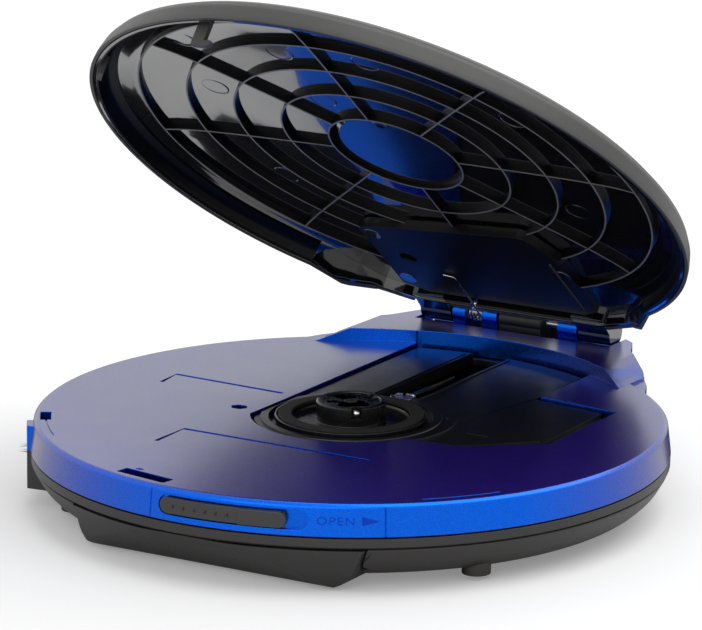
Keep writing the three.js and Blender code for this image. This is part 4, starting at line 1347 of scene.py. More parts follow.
@dataclass
class LowerCase(Assembly):
    """Dark bowl with its groove, jack panel, rear housing, battery bay and door."""

    high: float = 11.1
    wall: float = 1.4
    side_low: float = 2.9
    door_low: float = -0.4
    door_top: float = 8.5
    bay: tuple[float, float, float, float, float] = (-27, 29.5, -55.5, -26, 15.6)
    screws: tuple[Point, ...] = ((-44, -40), (50, -34), (-46, 36), (42, 42))
    feet: tuple[Point, ...] = ((-37, -21), (39, -19), (-34, 34), (34, 34))
    bosses: tuple[Point, ...] = ((-21, -18.5), (45, 14), (-19.5, 48))

    def bowl(self) -> Solid:
        """Bowl as a body of revolution."""
        profile = [
            (0, 0), (37, 0), (37.5, 0.4, 0.3), (53, 0.4, 14), (62.5, 2, 8), (66, 5.2, 7),
            (67.95, 8.55, 0.25), (67.4, 8.85), (68.25, 9.25, 0.2), (68.25, self.high, 0.15),
            (66.9, self.high), (66.4, 8.4), (61.2, 3.2), (53, 1.6), (0, 1.6),
        ]
        return Solid.turned(rounded(profile))

    @staticmethod
    def inside() -> Solid:
        """Hollow of the bowl."""
        profile = [(0, 1.6), (53, 1.6), (61.2, 3.2), (66.4, 8.4), (66.9, 30), (0, 30)]
        return Solid.turned(profile)

    def door_space(self, grow: float, fillet: float) -> list[Point]:
        """Outline of the battery door from the front, drawn in by a distance."""
        low = self.door_low - (0 if fillet else 1)
        return rounded([
            (-30.7 + grow, low, fillet), (32.4 - grow, low, fillet * 1.3),
            (37.6 - grow, self.door_top + 0.3), (-30.7 + grow, self.door_top + 0.3),
        ])

    def shell(self, deck: DeckShell) -> Solid:
        """Bowl, jack panel and rear housing, hollowed out."""
        shell = self.bowl()
        inside = self.inside()
        pit = deck.side_panel(self.side_low + self.wall, self.high + 1, self.wall)
        panel = deck.side_panel(self.side_low, self.high, 0, 1.2) - pit
        shell = (shell + (panel - inside)) - pit
        shell += Solid.drawn(rounded(deck.tab_block(), 0.4, 4), self.side_low, self.high)
        slope = [(40, 3), (68, 3), (79.3, 8), (79.3, self.high), (40, self.high)]
        rear = deck.housing_prism(0, self.high) & Solid.drawn(rounded(slope, 1.5), -50, 50, Axis.X)
        hollow = Solid.drawn(mirrored(deck.housing_inside), 7, self.high + 1)
        under = Solid.drawn([(40, 4.6), (67, 4.6), (77.6, 9.2), (77.6, 40), (40, 40)], -50, 50, Axis.X)
        return (shell + (rear - inside)) - (hollow & under)

    def fitted(self, shell: Solid) -> Solid:
        """Adds the battery bay and posts, and cuts the openings."""
        x0, x1, y0, y1, roof = self.bay
        shell -= Solid.drawn(self.door_space(0, 0), -90, -24.5, Axis.Y)
        wall = self.wall
        bay = Solid.block((x0 - wall, y0 - 0.3, 1.2), (x1 + wall, -23.9, roof + 0.65))
        shell += bay - Solid.block((x0, y0 - 5, -5), (x1, y1, roof))
        for x, y in self.bosses:
            shell += Solid.disc(3.2, 1, DECK - 5.3, (x, y))
        for x, y in self.screws:
            shell += Solid.disc(3, 0.2, DECK - 2.2, (x, y))
            shell -= Solid.disc(1.3, -1, DECK - 3, (x, y))
            shell -= Solid.disc(2.4, -1, 3.2, (x, y))
        for x, y in self.feet:
            shell -= Solid.disc(4.3, -1, 0.8, (x, y))
        for radius, y in ((2.2, PHONE_Y), (2.9, POWER_Y)):
            shell -= port_rod(radius, -72, -67, y)
        shell -= Solid.block((-72, 1.3, DECK - 11.1), (-67, 12.7, DECK - 8.1))
        return shell - Solid.block((-72, 14.1, PORTS - 1), (-67, 19.9, PORTS + 1))

    def door(self) -> Solid:
        """Battery door that bulges out of the bowl."""
        low, top = self.door_low, self.door_top

        def cone(trim: float) -> Solid:
            """Round outer limit, drawn in by a distance."""
            return Solid.turned([
                (0, low - 2), (64.6 - trim, low - 2), (65 - trim, low), (68.05 - trim, top + 0.1),
                (68.05 - trim, top + 4), (0, top + 4),
            ])

        def slope(trim: float, fillet: float) -> Solid:
            """Front limit from the side, drawn in by a distance."""
            section = rounded([
                (-24.8, low), (-57.6 + trim, low, fillet), (-66.6 + trim, low + 7.5, 5),
                (-69 + trim, top + 4), (-24.8, top + 4),
            ], steps=10)
            return Solid.drawn(section, -50, 50, Axis.X)

        gap = 0.3
        outer = Solid.drawn(self.door_space(gap, 5.0), -75, -24.8, Axis.Y) & cone(0)
        outer &= slope(0, 4.5)
        outer -= Solid.block((-60, -90, top), (60, 0, top + 20))
        inner = Solid.drawn(self.door_space(self.wall + gap, 4.0), -75, -20, Axis.Y) & cone(self.wall)
        inner &= slope(self.wall, 3.0)
        return outer - (inner - Solid.block((-60, -90, -9), (60, 0, low + 1.2)))

    def screw_mesh(self, radius: float, height: float) -> Mesh:
        """Round screw head with a cross recess and a short shank, head down."""
        profile = [
            (0, -height), (radius * 0.7, -height, 0.3), (radius, -height * 0.35, 0.4), (radius, 0), (0, 0),
        ]
        head = Solid.turned(rounded(profile, steps=4), SMALL_STEPS)
        arm = radius * 0.62
        for turn in (0, 90):
            bar = Solid.block((-arm, -radius * 0.13, -height - 1), (arm, radius * 0.13, -height * 0.4))
            head -= bar.placed(turn_z(turn))
        head += Solid.disc(radius * 0.5, -0.2, 2.5)
        return softened(head, 0.04, 1, 35)

    def build(self, deck: DeckShell) -> None:
        """Builds the case.

        Args:
            deck: the deck, whose housing and panel outlines it shares.
        """
        shell = self.fitted(self.shell(deck))
        self.put("case_shell", shell, CASE_PLASTIC, Slot.CASE_BLACK, ["bottom_case"], 0.15, 2, 32)
        door, nodes = self.door(), ["battery_door"]
        self.put("battery_cover", door, DOOR_PLASTIC, Slot.CASE_BLACK, nodes, 0.2, 2, 32, Body.DOOR)
        heads = scatter(
            "case_screws", self.screw_mesh(2.0, 1.2), [(x, y, 2.7) for x, y in self.screws],
            [10, 55, 30, 80], CAN_STEEL,
        )
        names = [f"case_screw_{i}" for i in range(1, 5)]
        self.mount("case_screws", heads, CAN_STEEL, Slot.STEEL, names)
        profile = [(0, -0.8), (4, -0.8, 0.35), (4, 0.5), (0, 0.5)]
        pad = Solid.turned(rounded(profile, steps=5), SMALL_STEPS) - Solid.disc(2.2, -1, -0.65)
        pads = scatter(
            "feet", softened(pad, 0.06, 2, 40), [(x, y, 0) for x, y in self.feet], [0] * 4, FOOT_RUBBER
        )
        self.mount("feet", pads, FOOT_RUBBER, Slot.RUBBER, [f"rubber_foot_{i}" for i in range(1, 5)])


# ---------------------------------------------------------------- mechanism


@dataclass
class DiscDrive(Assembly):
    """Chassis, turntable with its hub, laser pickup and lens."""

    top: float = DECK - 1.9
    thick: float = 1.4
    island: float = DECK - 0.6
    slot_x: float = 4.6
    rod_z: float = DECK - 7.2
    lens_y: float = 22.0
    hub: float = 7.45
    hub_top: float = DECK + 3.4
    flange: float = 16.3
    notches: tuple[float, float, float] = (40, 160, 280)

    def inside_opening(self, margin: float, low: float, high: float) -> Solid:
        """Island of the mechanism, drawn in by a margin on every side."""
        outline = DeckShell.opening(61.9, (45.2, 4), (31.3, -9.4), (44.5, 32.2))
        whole = Solid.drawn(outline, low, high)
        left = whole
        for angle in range(0, 360, 30):
            left &= whole.shifted(*polar(margin, angle))
        return left

    def chassis(self) -> Solid:
        """Chassis plate with its raised island, well and pickup slot."""
        low = self.top - self.thick
        plate = Solid.drawn([
            (-24.5, -22.6), (26, -22.6), (38, -14), (50, -4), (50, 28), (36, 42), (28, 54),
            (20, 60.5), (12, 63.5), (-14, 63.5), (-24.5, 57),
        ], low, self.top)
        island = self.inside_opening(0.8, self.top - 0.5, self.island)
        well = Solid.disc(19.4, self.top - 0.5, self.island + 0.3, steps=120)
        body = (plate + island) + (well & self.inside_opening(0.5, self.top - 1, DECK))
        body -= Solid.disc(17.6, DECK - 1.6, DECK + 2, steps=120)
        body -= Solid.disc(4, low - 1, DECK)
        slot = rounded([
            (-self.slot_x, 17.9), (self.slot_x, 17.9), (self.slot_x, 61.2, 1), (-self.slot_x, 61.2, 1),
        ])
        body -= Solid.drawn(slot, low - 1, DECK)
        body -= Solid.disc(0.45, self.top - 0.2, DECK, (18, 10), 24)
        eyelet = rounded(oblong(27.6, 1.6, 31.6, 2.6), 0.3)
        return body - Solid.drawn(eyelet, DECK - 1.2, DECK)

    def trim(self) -> Solid:
        """Low ribs moulded on the island."""
        ribs = (
            (arc(22.6, 62, 118, 30), 0.5, 0.2, 0.35),
            ([(27.9, 36.2), (27.9, 52.8)], 0.55, 0.3, 0.3),
            ([(-5.6, 18.5), (-5.6, 59.5)], 0.5, 0.2, 0.22),
            ([(5.6, 20.5), (5.6, 59.5)], 0.5, 0.2, 0.22),
            ([(17.5, -8.2), (30.2, -8.2), (43.4, 4.6)], 0.45, 0.2, 0.25),
            ([(27.2, 2.1), (32, 2.1)], 0.4, 0.9, 0.2),
        )
        return together(
            groove(line, width, self.island - sunk, self.island + proud) for line, width, sunk, proud in ribs
        )

    def table(self) -> Solid:
        """Turntable with its hub, ball notches and the sunk pattern on top."""
        hub, high, rim = self.hub, self.hub_top, self.flange
        profile = rounded([
            (0, DECK - 3.4), (3.2, DECK - 3.4), (3.2, DECK - 1.2), (rim - 0.4, DECK - 1.2, 0.2),
            (rim, DECK - 0.8, 0.2), (rim, DECK + 0.2, 0.15), (15.9, DECK + 0.2, 0.1), (15.9, DECK - 0.5),
            (12.5, DECK - 0.5), (12.3, DECK - 0.95, 0.1), (hub, DECK - 0.95, 0.2), (hub, high - 0.35, 0.15),
            (hub - 0.35, high, 0.15), (6.4, high, 0.1), (6.2, high - 0.3), (0, high - 0.3),
        ], steps=4)
        body = Solid.turned(profile, 144)
        for angle in self.notches:
            notch = Solid.block((-1.1, -9, DECK + 0.9), (1.1, -5.1, high + 1))
            body -= notch.placed(turn_z(angle))
            for side in (-32, 32):
                slit = Solid.sector(3.6, 5.2, angle + side - 11, angle + side + 11, high - 1.1, high + 1)
                body -= slit
            recess = Solid.block((-1.5, -3.3, high - 0.8), (1.5, -2.5, high + 1))
            body -= recess.placed(turn_z(angle + 60))
        body += Solid.turned(oblong(0, high - 1, 1.5, high - 0.15), 32)
        return body - Solid.disc(1.3, DECK - 5, DECK + 1)

    def ball(self, angle: float) -> Solid:
        """Centring ball in the hub's notch at an angle."""
        radius, middle, steps = 0.8, DECK + 2.1, 12
        turns = [math.pi * i / steps for i in range(steps + 1)]
        half = [(max(radius * math.sin(turn), 0), middle - radius * math.cos(turn)) for turn in turns]
        return Solid.turned(half, 28, polar(self.hub - 0.6, angle))

    def sled(self) -> Solid:
        """Pickup sled with its turret, guide-rod holes and lens well."""
        body = Solid.block((-13, 11.2, DECK - 9.8), (11.8, 27.2, DECK - 4.4))
        turret = oblong(-4.2, self.lens_y - 4, 4.2, self.lens_y + 4.6)
        body += Solid.drawn(rounded(turret, 0.8), DECK - 5, DECK - 1.7)
        for x in (-10.5, 9.5):
            body -= Solid.rod(1.3, 0, 40, (x, self.rod_z), Axis.Y)
        return body - Solid.disc(2.9, DECK - 3.4, DECK, (0, self.lens_y))

    def lens_ring(self) -> Solid:
        """Bright ring round the lens, broken by four gaps."""
        profile = rounded([
            (2.5, DECK - 3.1), (2.85, DECK - 3.1), (2.85, DECK - 1.1, 0.1), (2.6, DECK - 0.9, 0.1),
            (2.38, DECK - 1.15, 0.05), (2.5, DECK - 1.5),
        ], steps=3)
        ring = Solid.turned(profile, 72, (0, self.lens_y))
        gaps = Solid.block((-0.35, -4, DECK - 1.9), (0.35, 4, DECK))
        for angle in (20, 110):
            ring -= gaps.placed(turn_z(angle)).shifted(0, self.lens_y)
        return ring

    def build(self) -> None:
        """Builds the mechanism."""
        plate, nodes = self.chassis(), ["mechanism_chassis"]
        self.put("drive_chassis", plate, CHASSIS_PLASTIC, Slot.SATIN_BLACK, nodes, 0.16, 2, 32)
        self.put("chassis_ribs", self.trim(), CHASSIS_PLASTIC, Slot.SATIN_BLACK, (), 0.08)
        spindle = Body.SPINDLE
        table = self.table()
        self.put("disc_table", table, HUB_PLASTIC, Slot.SATIN_BLACK, ["turntable"], 0.07, 2, 30, spindle)
        profile = [
            (12.7, DECK - 0.2), (15.6, DECK - 0.2), (15.6, DECK + 0.5, 0.15), (12.7, DECK + 0.5, 0.15),
        ]
        pad = Solid.turned(rounded(profile, steps=4), 144)
        self.put("disc_ring", pad, DAMPER_RUBBER, Slot.RUBBER, ["disc_pad"], 0, body=spindle)
        for number, angle in enumerate(self.notches, 1):
            body, nodes = Body[f"BALL_{number}"], [f"hub_ball_{number}"]
            ball = self.ball(angle)
            self.put(f"centring_ball_{number}", ball, CHROME, Slot.STEEL, nodes, 0, body=body)
        self.put("sled_body", self.sled(), CHASSIS_PLASTIC, Slot.SATIN_BLACK, (), 0.1, body=Body.SLED)
        profile = rounded([
            (0, DECK - 2.7), (2.3, DECK - 2.7), (2.3, DECK - 1.5, 0.1), (1.7, DECK - 1.3, 0.6),
            (0.01, DECK - 0.95),
        ], steps=6)
        lens = Solid.turned(profile, SMALL_STEPS, (0, self.lens_y))
        self.put("lens_cap", lens, LENS_GLASS, Slot.LENS_GLASS, ["pickup_lens"], 0, body=Body.LENS)
        self.put("lens_ring", self.lens_ring(), CHROME, Slot.STEEL, (), 0.03, body=Body.SLED)


# ---------------------------------------------------------------- release


@dataclass
class Release(Assembly):
    """Release slider on the band with its finger pad and grip marks, and the catch it carries."""

    body: Body = Body.RELEASE
    start: float = -3.8
    end: float = 19.7
    step: float = 11.3
    low: float = DECK - 5.15
    high: float = DECK - 1.85
    marks: tuple[float, ...] = (-1.2, 0.9, 3.1, 5.1, 7.1, 9.2)

    def knob(self) -> Solid:
        """Slider knob: a long flush plate whose right third stands proud."""
        plate = Solid.banded(stadium(self.start, self.end, self.low, self.high, 68), 67.45, 68.5)
        pad = Solid.banded(stadium(self.step - 2.5, self.end, self.low, self.high, 68.5), 67.9, 68.95)
        pad &= Solid.sector(60, 80, self.step, self.end + 5, 0, 40)
        return (plate + pad) + Solid.sector(65.2, 68, 4, 12, DECK - 4.1, DECK - 2.9)

    def catch(self) -> Solid:
        """Carriage, riser and tongue of the catch."""
        body = Solid.sector(62.2, 64.9, -9.2, 12, DECK - 4.3, DECK - 2.9)
        body += Solid.sector(62.4, 64.4, -9.2, -8.2, DECK - 4.2, DECK - 2)
        return body + Solid.sector(62.4, 64.4, -11.6, -8.2, DECK - 2.55, DECK - 1.95)

    def build(self) -> None:
        """Builds the slider and the catch."""
        self.put("slider_knob", self.knob(), KNOB_PLASTIC, Slot.KNOB_GREY, ["open_slider"], 0.16, 3, 34)
        self.put("catch_tongue", self.catch(), CATCH_PLASTIC, Slot.SATIN_BLACK, ["latch_catch"], 0.08)
        tick = [(-0.28, -0.35), (0.32, -0.35), (0.32, 0.35)]
        mark = Solid.drawn(tick, -0.16, 0.04, Axis.Y)
        middle = (self.low + self.high) / 2
        places = [(*polar(68.5, angle), middle) for angle in self.marks]
        ticks = scatter("grip_marks", mark.mesh, places, list(self.marks), KNOB_PLASTIC)
        self.mount("grip_marks", ticks, JACK_PLASTIC, Slot.KNOB_GREY)


# ---------------------------------------------------------------- hinge and side controls


def cable(name: str, points: Sequence[Point], radius: float, bend: float, finish: Finish) -> Mesh:
    """Round wire along a chain of points with rounded bends.

    Args:
        name: the tree's name.
        points: the chain.
        radius: radius of the wire.
        bend: radius of the bends.
        finish: its finish.

    Returns:
        The wire's mesh.
    """
    tree = Growth(name, Wire_Radius=radius, Bend_Radius=bend, Material=material_of(finish))
    seed = bpy.data.meshes.new(f"{name}_path")
    seed.from_pydata([tuple(p) for p in points], [(i, i + 1) for i in range(len(points) - 1)], [])
    curve = tree.add("GeometryNodeMeshToCurve", inputs={0: tree.given("Geometry")})
    curve = tree.add("GeometryNodeFilletCurve", inputs={"Curve": curve, "Radius": tree.given("Bend Radius")})
    return tree.grown(tree.swept(curve, tree.round_section(12)), seed)


@dataclass
class HingeLine(Assembly):
    """Pins, the black centre of the hinge and the lid's spring."""

    pin: float = 1.0
    coil_start: float = -12.3
    coil_end: float = -9.0
    coil_radius: float = 1.75
    wire: float = 0.22

    def build(self) -> None:
        """Builds the fixed pieces and the spring."""
        for name, start, end in (("left", -24, -4.9), ("right", 6.9, 24)):
            pin = hinge_rod(self.pin, start, end)
            self.put(f"pin_{name}", pin, NICKEL, Slot.STEEL, [f"hinge_pin_{name}"], 0.15, 3)
        cover = hinge_rod(KNUCKLE - 0.2, -4.2, 6.5)
        foot = Solid.block((-4.2, HINGE.y - 2.6, DECK + 0.9), (6.5, HINGE.y + 2.6, HINGE.z))
        self.put("hinge_centre", cover + foot, HINGE_PLASTIC, Slot.SATIN_BLACK, ["hinge_cable_cover"], 0.3, 3)
        back = Solid.block((-16, HINGE.y + 3.3, DECK - 0.4), (16, HINGE.y + 4.1, DECK + 4.2))
        back += Solid.block((-24.3, HINGE.y + 3.3, DECK - 0.4), (24.3, HINGE.y + 4.1, DECK + 1.4))
        self.put("hinge_back", back, HINGE_PLASTIC, Slot.SATIN_BLACK, (), 0.15)
        self.spring()

    def spring(self) -> None:
        """Coil round the left pin and its arm to the hinge plate."""
        tree = Growth(
            "lid_coil", Rotations=4.0, Radius=self.coil_radius, Length=self.coil_end - self.coil_start,
            Wire_Radius=self.wire, Material=material_of(SPRING_STEEL),
        )
        spiral = tree.add("GeometryNodeCurveSpiral", inputs={
            "Resolution": 32, "Rotations": tree.given("Rotations"), "Start Radius": tree.given("Radius"),
            "End Radius": tree.given("Radius"), "Height": tree.given("Length"),
        })
        turned = tree.placed(
            tree.swept(spiral, tree.round_section(10)), Rotation=(0.0, math.pi / 2, 0.0),
            Translation=(self.coil_start, HINGE.y, HINGE.z),
        )
        coil = tree.grown(turned)
        low = DECK + 4.1
        arm = cable("spring_arm", [
            (self.coil_end, HINGE.y + 1.75, HINGE.z), (self.coil_end, HINGE.y + 0.6, HINGE.z - 1.8),
            (self.coil_end, HINGE.y - 2, HINGE.z - 1.6), (self.coil_end, 66, low),
            (self.coil_end + 0.6, 55.5, low), (self.coil_end - 2, 54.8, low),
        ], self.wire, 0.5, SPRING_STEEL)
        lid = Assembly(Body.LID, LID_PLACE)
        lid.mount("lid_coil", coil, SPRING_STEEL, Slot.STEEL, ["lid_spring"])
        lid.mount("spring_arm", arm, SPRING_STEEL, Slot.STEEL)


@dataclass
class SideControls(Assembly):
    """Volume wheel, hold switch and the two jacks in the side panel."""

    wheel_x: float = -63.4
    wheel_y: float = 7.0
    wheel_radius: float = 7.1
    wheel_low: float = DECK - 10.6
    wheel_high: float = DECK - 8.6
    ridges: int = 40

    def wheel(self) -> Mesh:
        """Thumb wheel with ridges round its edge, grown round a circle."""
        tree = Growth(
            "thumb_wheel", Ridges=self.ridges, Radius=self.wheel_radius - 0.25,
            Width=self.wheel_high - self.wheel_low, Material=material_of(KNOB_PLASTIC),
        )
        core = tree.add("GeometryNodeMeshCylinder", inputs={
            "Vertices": 96, "Radius": tree.given("Radius"), "Depth": tree.given("Width"),
        })
        ring = tree.add("GeometryNodeMeshCircle", inputs={
            "Vertices": tree.given("Ridges"), "Radius": tree.given("Radius"),
        })
        rib = tree.add("GeometryNodeMeshCylinder", inputs={
            "Vertices": 10, "Radius": 0.25, "Depth": tree.given("Width") - 0.3,
        })
        knurl = tree.scattered(ring, rib)
        place = (self.wheel_x, self.wheel_y, (self.wheel_low + self.wheel_high) / 2)
        return tree.grown(tree.placed(tree.joined(core, knurl), Translation=place))

    def build(self) -> None:
        """Builds the controls."""
        self.mount("thumb_wheel", self.wheel(), KNOB_PLASTIC, Slot.KNOB_GREY, ["volume_wheel"], Body.VOLUME)
        nub = Solid.block((-70.2, 14.4, PORTS - 0.7), (-67.4, 17, PORTS + 0.7))
        nub += Solid.block((-67.8, 13.9, PORTS - 1.4), (-66.8, 17.5, PORTS + 1.4))
        for y in (15.1, 15.7, 16.3):
            nub -= Solid.block((-70.5, y - 0.12, PORTS - 1), (-69.95, y + 0.12, PORTS + 1))
        self.put("hold_nub", nub, KNOB_PLASTIC, Slot.KNOB_GREY, ["hold_switch"], 0.1, body=Body.HOLD)
        y = PHONE_Y
        socket = port_rod(1.9, -68.6, -60, y) - port_rod(1.75, -70, -57, y)
        socket += port_rod(1.9, -67.3, -61, y) - port_rod(1.4, -70, -60, y)
        block = Solid.block((-66.6, -7.2, 6.0), (-55, -0.8, DECK - 7.3)) - port_rod(1.85, -70, -60.5, y)
        self.put("phone_socket", block + socket, JACK_PLASTIC, Slot.SATIN_BLACK, ["headphone_jack"], 0.06)
        ring = port_rod(1.72, -68.9, -68.2, y) - port_rod(1.45, -70, -60, y)
        self.put("phone_ring", ring, NICKEL, Slot.STEEL, (), 0.05)
        y = POWER_Y
        power = Solid.block((-67.6, -14.95, 6.0), (-57, -7.8, DECK - 7.3)) - port_rod(2.2, -70, -59, y)
        power += port_rod(0.7, -67.2, -58, y)
        self.put("power_socket", power, JACK_PLASTIC, Slot.SATIN_BLACK, ["dc_jack"], 0.08)


# ---------------------------------------------------------------- lid


def crown(radius: Operand) -> Any:
    """Height of the lid's outer face above the deck at a radius; takes numbers and wires."""
    return 9.4 - (radius / 42) ** 2 * 0.32 - (radius / 60) ** 10 * 1.15


@dataclass
class Lid(Assembly):
    """Outer cover, glossy liner with its ribs, hook, hinge plate, display and keys."""

    body: Body = Body.LID
    place: Matrix = field(default_factory=LID_PLACE.copy)
    lip: float = DECK + 0.3
    cover: float = 0.75
    liner: float = 1.0
    skin: float = 0.65
    rib: float = 1.4
    rib_thick: float = 0.42
    first_ring: float = 15.2
    ring_step: float = 10.7
    leaf_low: float = DECK + 4.6
    leaf: float = 0.7
    chin: tuple[Point, ...] = ((-25, 69.8, 1.5), (-33, 66.2, 4), (-37.5, 61.2, 4), (-44, 50.5))
    knuckles: tuple[tuple[float, float], ...] = ((-24.3, -16.4), (16.3, 24.3))
    key_row: float = 53.0
    keys: tuple[tuple[str, float], ...] = (("play", -17), ("stop", -5.7), ("back", 5.7), ("forward", 17))
    plate_screws: tuple[Point, ...] = ((-22.6, 39.1), (-22.8, 60.5), (21.9, 47))
    ejectors: tuple[Point, ...] = (
        (-36.3, -19.8), (-10.6, -40.1), (10.1, -40), (-9.5, -19.8), (-33.7, -41.9),
        (37.5, -22.2), (36.5, 18.4), (-37, 20),
    )

    def dome(self, inset: float, low: float) -> Solid:
        """Round body of the lid, drawn in by a distance."""
        edge = 67.5 - inset
        span = 60 - inset
        top = [(span * i / 14, DECK + crown(span * i / 14) - inset) for i in range(14, -1, -1)]
        rim = [
            (edge, low), (edge - 0.12, DECK + 1.6), (edge - 0.6, DECK + 3.6 - inset * 0.4),
            (edge - 1.5, DECK + 5.15 - inset * 0.75), (edge - 3.1, DECK + 6.25 - inset * 0.9),
            (edge - 5.2, DECK + 7.05 - inset),
        ]
        return Solid.turned([(0, low), *rounded(rim + top + [(0, low)], 0)[:-1]])

    def shape(self, inset: float, low: float) -> Solid:
        """Dome and rear chin together, drawn in by a distance."""
        outline = [
            (x - math.copysign(inset * 1.1, x), y - (inset if y > 55 else 0), *more)
            for x, y, *more in mirrored(self.chin)
        ]
        top = DECK + 7.6 - inset
        slope = [(40, low), (75, low), (75, top - 0.6), (60, top), (40, top)]
        chin = Solid.drawn(rounded(outline, steps=5), low, DECK + 9) & Solid.drawn(slope, -50, 50, Axis.X)
        return self.dome(inset, low) + chin

    def spring_slot(self) -> Solid:
        """Slot that the spring's arm passes through."""
        return Solid.block((-9.7, 64, DECK + 2), (-8.3, 76, DECK + 5.2))

    def outer_cover(self, deck: DeckShell) -> Solid:
        """Outer cover with its key holes and window."""
        shell = self.shape(0, self.lip) - self.shape(self.cover, self.lip - 1)
        shell -= deck.bridge_space(0.3, DECK - 1)
        for _, x in self.keys:
            shell -= Solid.disc(3.4, DECK + 6.5, DECK + 12, (x, self.key_row))
        for start, end in self.knuckles:
            shell -= Solid.block((start - 0.3, 67, DECK), (end + 0.3, 76, DECK + 8))
        window = rounded(oblong(-13, 35.5, 13, 46.5), 1.2)
        shell -= Solid.drawn(window, DECK + 6.5, DECK + 12)
        return shell - self.spring_slot()

    def inner_liner(self, deck: DeckShell) -> Solid:
        """Glossy liner with its board recess, screw posts, knuckles and slots."""
        liner = self.shape(self.liner, self.lip) - self.shape(self.liner + self.skin, self.lip - 1)
        liner -= Solid.block((-21.4, 34, DECK + 5), (20.6, 59.5, DECK + 9))
        for x, y in self.plate_screws:
            top = DECK + max(crown(math.hypot(x, y)), 7.4) - self.liner - 0.3
            liner += Solid.disc(2, self.leaf_low + self.leaf + 0.3, top, (x, y))
            liner -= Solid.disc(0.9, 0, DECK + 5.9, (x, y))
        liner -= deck.bridge_space(0.3, DECK - 1)
        for start, end in self.knuckles:
            arm = [(67, DECK + 3.9), (HINGE.y, HINGE.z - 2.2), (HINGE.y, HINGE.z + 2.2), (67, DECK + 6.2)]
            liner += hinge_rod(KNUCKLE, start, end)
            liner += Solid.drawn(arm, start, end, Axis.X)
        liner -= hinge_rod(PIN_HOLE, -24, 24)
        return liner - self.spring_slot()

    def cove(self, deck: DeckShell) -> Solid:
        """Satin band round the liner's inner wall, clear of the chin and the deck's bridge; its dull black is
        painted shade.
        """
        layer = self.dome(1.6, self.lip + 0.2) - self.dome(2.0, self.lip - 1)
        band = Solid.sector(62.6, 66.4, -140.2, 140.2, DECK, DECK + 9)
        return (layer & band) - deck.bridge_space(0.5, DECK - 1)

    def ceiling(self, radius: float) -> float:
        """Height of the liner's under face at a radius."""
        return DECK + crown(radius) - self.liner - self.skin

    def centre_plate(self) -> Solid:
        """Round boss in the middle ring with its small off-centre eye."""
        under = self.ceiling(0)
        disc = Solid.turned(rounded([
            (0, under - 0.45), (13.2, under - 0.45, 0.5), (14.9, under + 0.1), (14.9, under + 0.25),
            (0, under + 0.25),
        ], steps=6))
        place = (1.25, -12)
        eye = Solid.turned(rounded([
            (0, under - 0.85), (1.7, under - 0.85, 0.2), (1.9, under - 0.2), (1.9, under + 0.1),
            (0, under + 0.1),
        ], steps=4), SMALL_STEPS, place)
        return (disc + eye) - Solid.disc(0.9, under - 2, under - 0.1, place)

    def rib_net(self, width: float, top: float, bottom: float, finish: Finish) -> Mesh:
        """Rings and spokes that follow the crown of the lid.

        Args:
            width: width of each rib.
            top: how far its upper edge is above the lid's ceiling.
            bottom: how far its lower edge is below that ceiling.
            finish: its finish.

        Returns:
            The net's mesh.
        """
        tree = Growth(
            "rib_net", Rings=5, Spokes=8, First_Ring=self.first_ring, Ring_Step=self.ring_step,
            Thickness=width, Depth=top + bottom, Rise=(top - bottom) / 2, Material=material_of(finish),
        )
        index = tree.add("GeometryNodeInputIndex")
        first, step = tree.given("First Ring"), tree.given("Ring Step")

        def stack(count: Wire) -> Wire:
            """Points on the disc axis, one for each copy."""
            sockets = {"Count": count, "Offset": (0.0, 0.0, 0.0)}
            return tree.add("GeometryNodeMeshLine", {"mode": "OFFSET"}, sockets)

        round_curve = tree.add("GeometryNodeCurvePrimitiveCircle", inputs={0: SHELL_STEPS, "Radius": 1.0})
        size = index * step + first
        rings = tree.add("GeometryNodeInstanceOnPoints", inputs={
            "Points": stack(tree.given("Rings")), "Instance": round_curve,
            "Scale": tree.vector(size, size, 1.0),
        })
        outer = (tree.given("Rings") - 1) * step + first
        line = tree.add("GeometryNodeCurvePrimitiveLine", inputs={
            "Start": tree.vector(y=first * -1), "End": tree.vector(y=outer * -1),
        })
        line = tree.add("GeometryNodeResampleCurve", inputs={"Curve": line, "Count": 24})
        turn = index * (2 * math.pi) / tree.given("Spokes")
        spokes = tree.scattered(stack(tree.given("Spokes")), line, tree.vector(z=turn))
        curves = tree.add("GeometryNodeRealizeInstances", inputs={0: tree.joined(rings, spokes)})
        here = tree.add("GeometryNodeInputPosition")
        reach = tree.add("ShaderNodeVectorMath", {"operation": "LENGTH"}, {0: here}, "Value")
        lift = crown(reach) + tree.given("Rise") + (DECK - self.liner - self.skin)
        curves = tree.add("GeometryNodeSetPosition", inputs={0: curves, "Offset": tree.vector(z=lift)})
        curves = tree.add("GeometryNodeSetCurveNormal", {"mode": "Z_UP"}, {"Curve": curves})
        section = tree.add("GeometryNodeCurvePrimitiveQuadrilateral", inputs={
            "Width": tree.given("Thickness"), "Height": tree.given("Depth"),
        })
        return tree.grown(tree.swept(curves, section))

    def hook(self) -> Solid:
        """Flat hook that the catch holds."""
        front, back = -62.6, -61.2
        outline = rounded([
            (-17, DECK + 5), (-17, DECK - 4.2, 0.4), (-13.0, DECK - 4.2, 1.2), (-12.1, DECK - 3.0, 0.6),
            (-13.0, DECK - 2.7, 0.3), (-14.2, DECK - 2.9, 0.3), (-14.2, DECK + 5),
        ])
        return Solid.drawn(outline, front, back, Axis.Y)

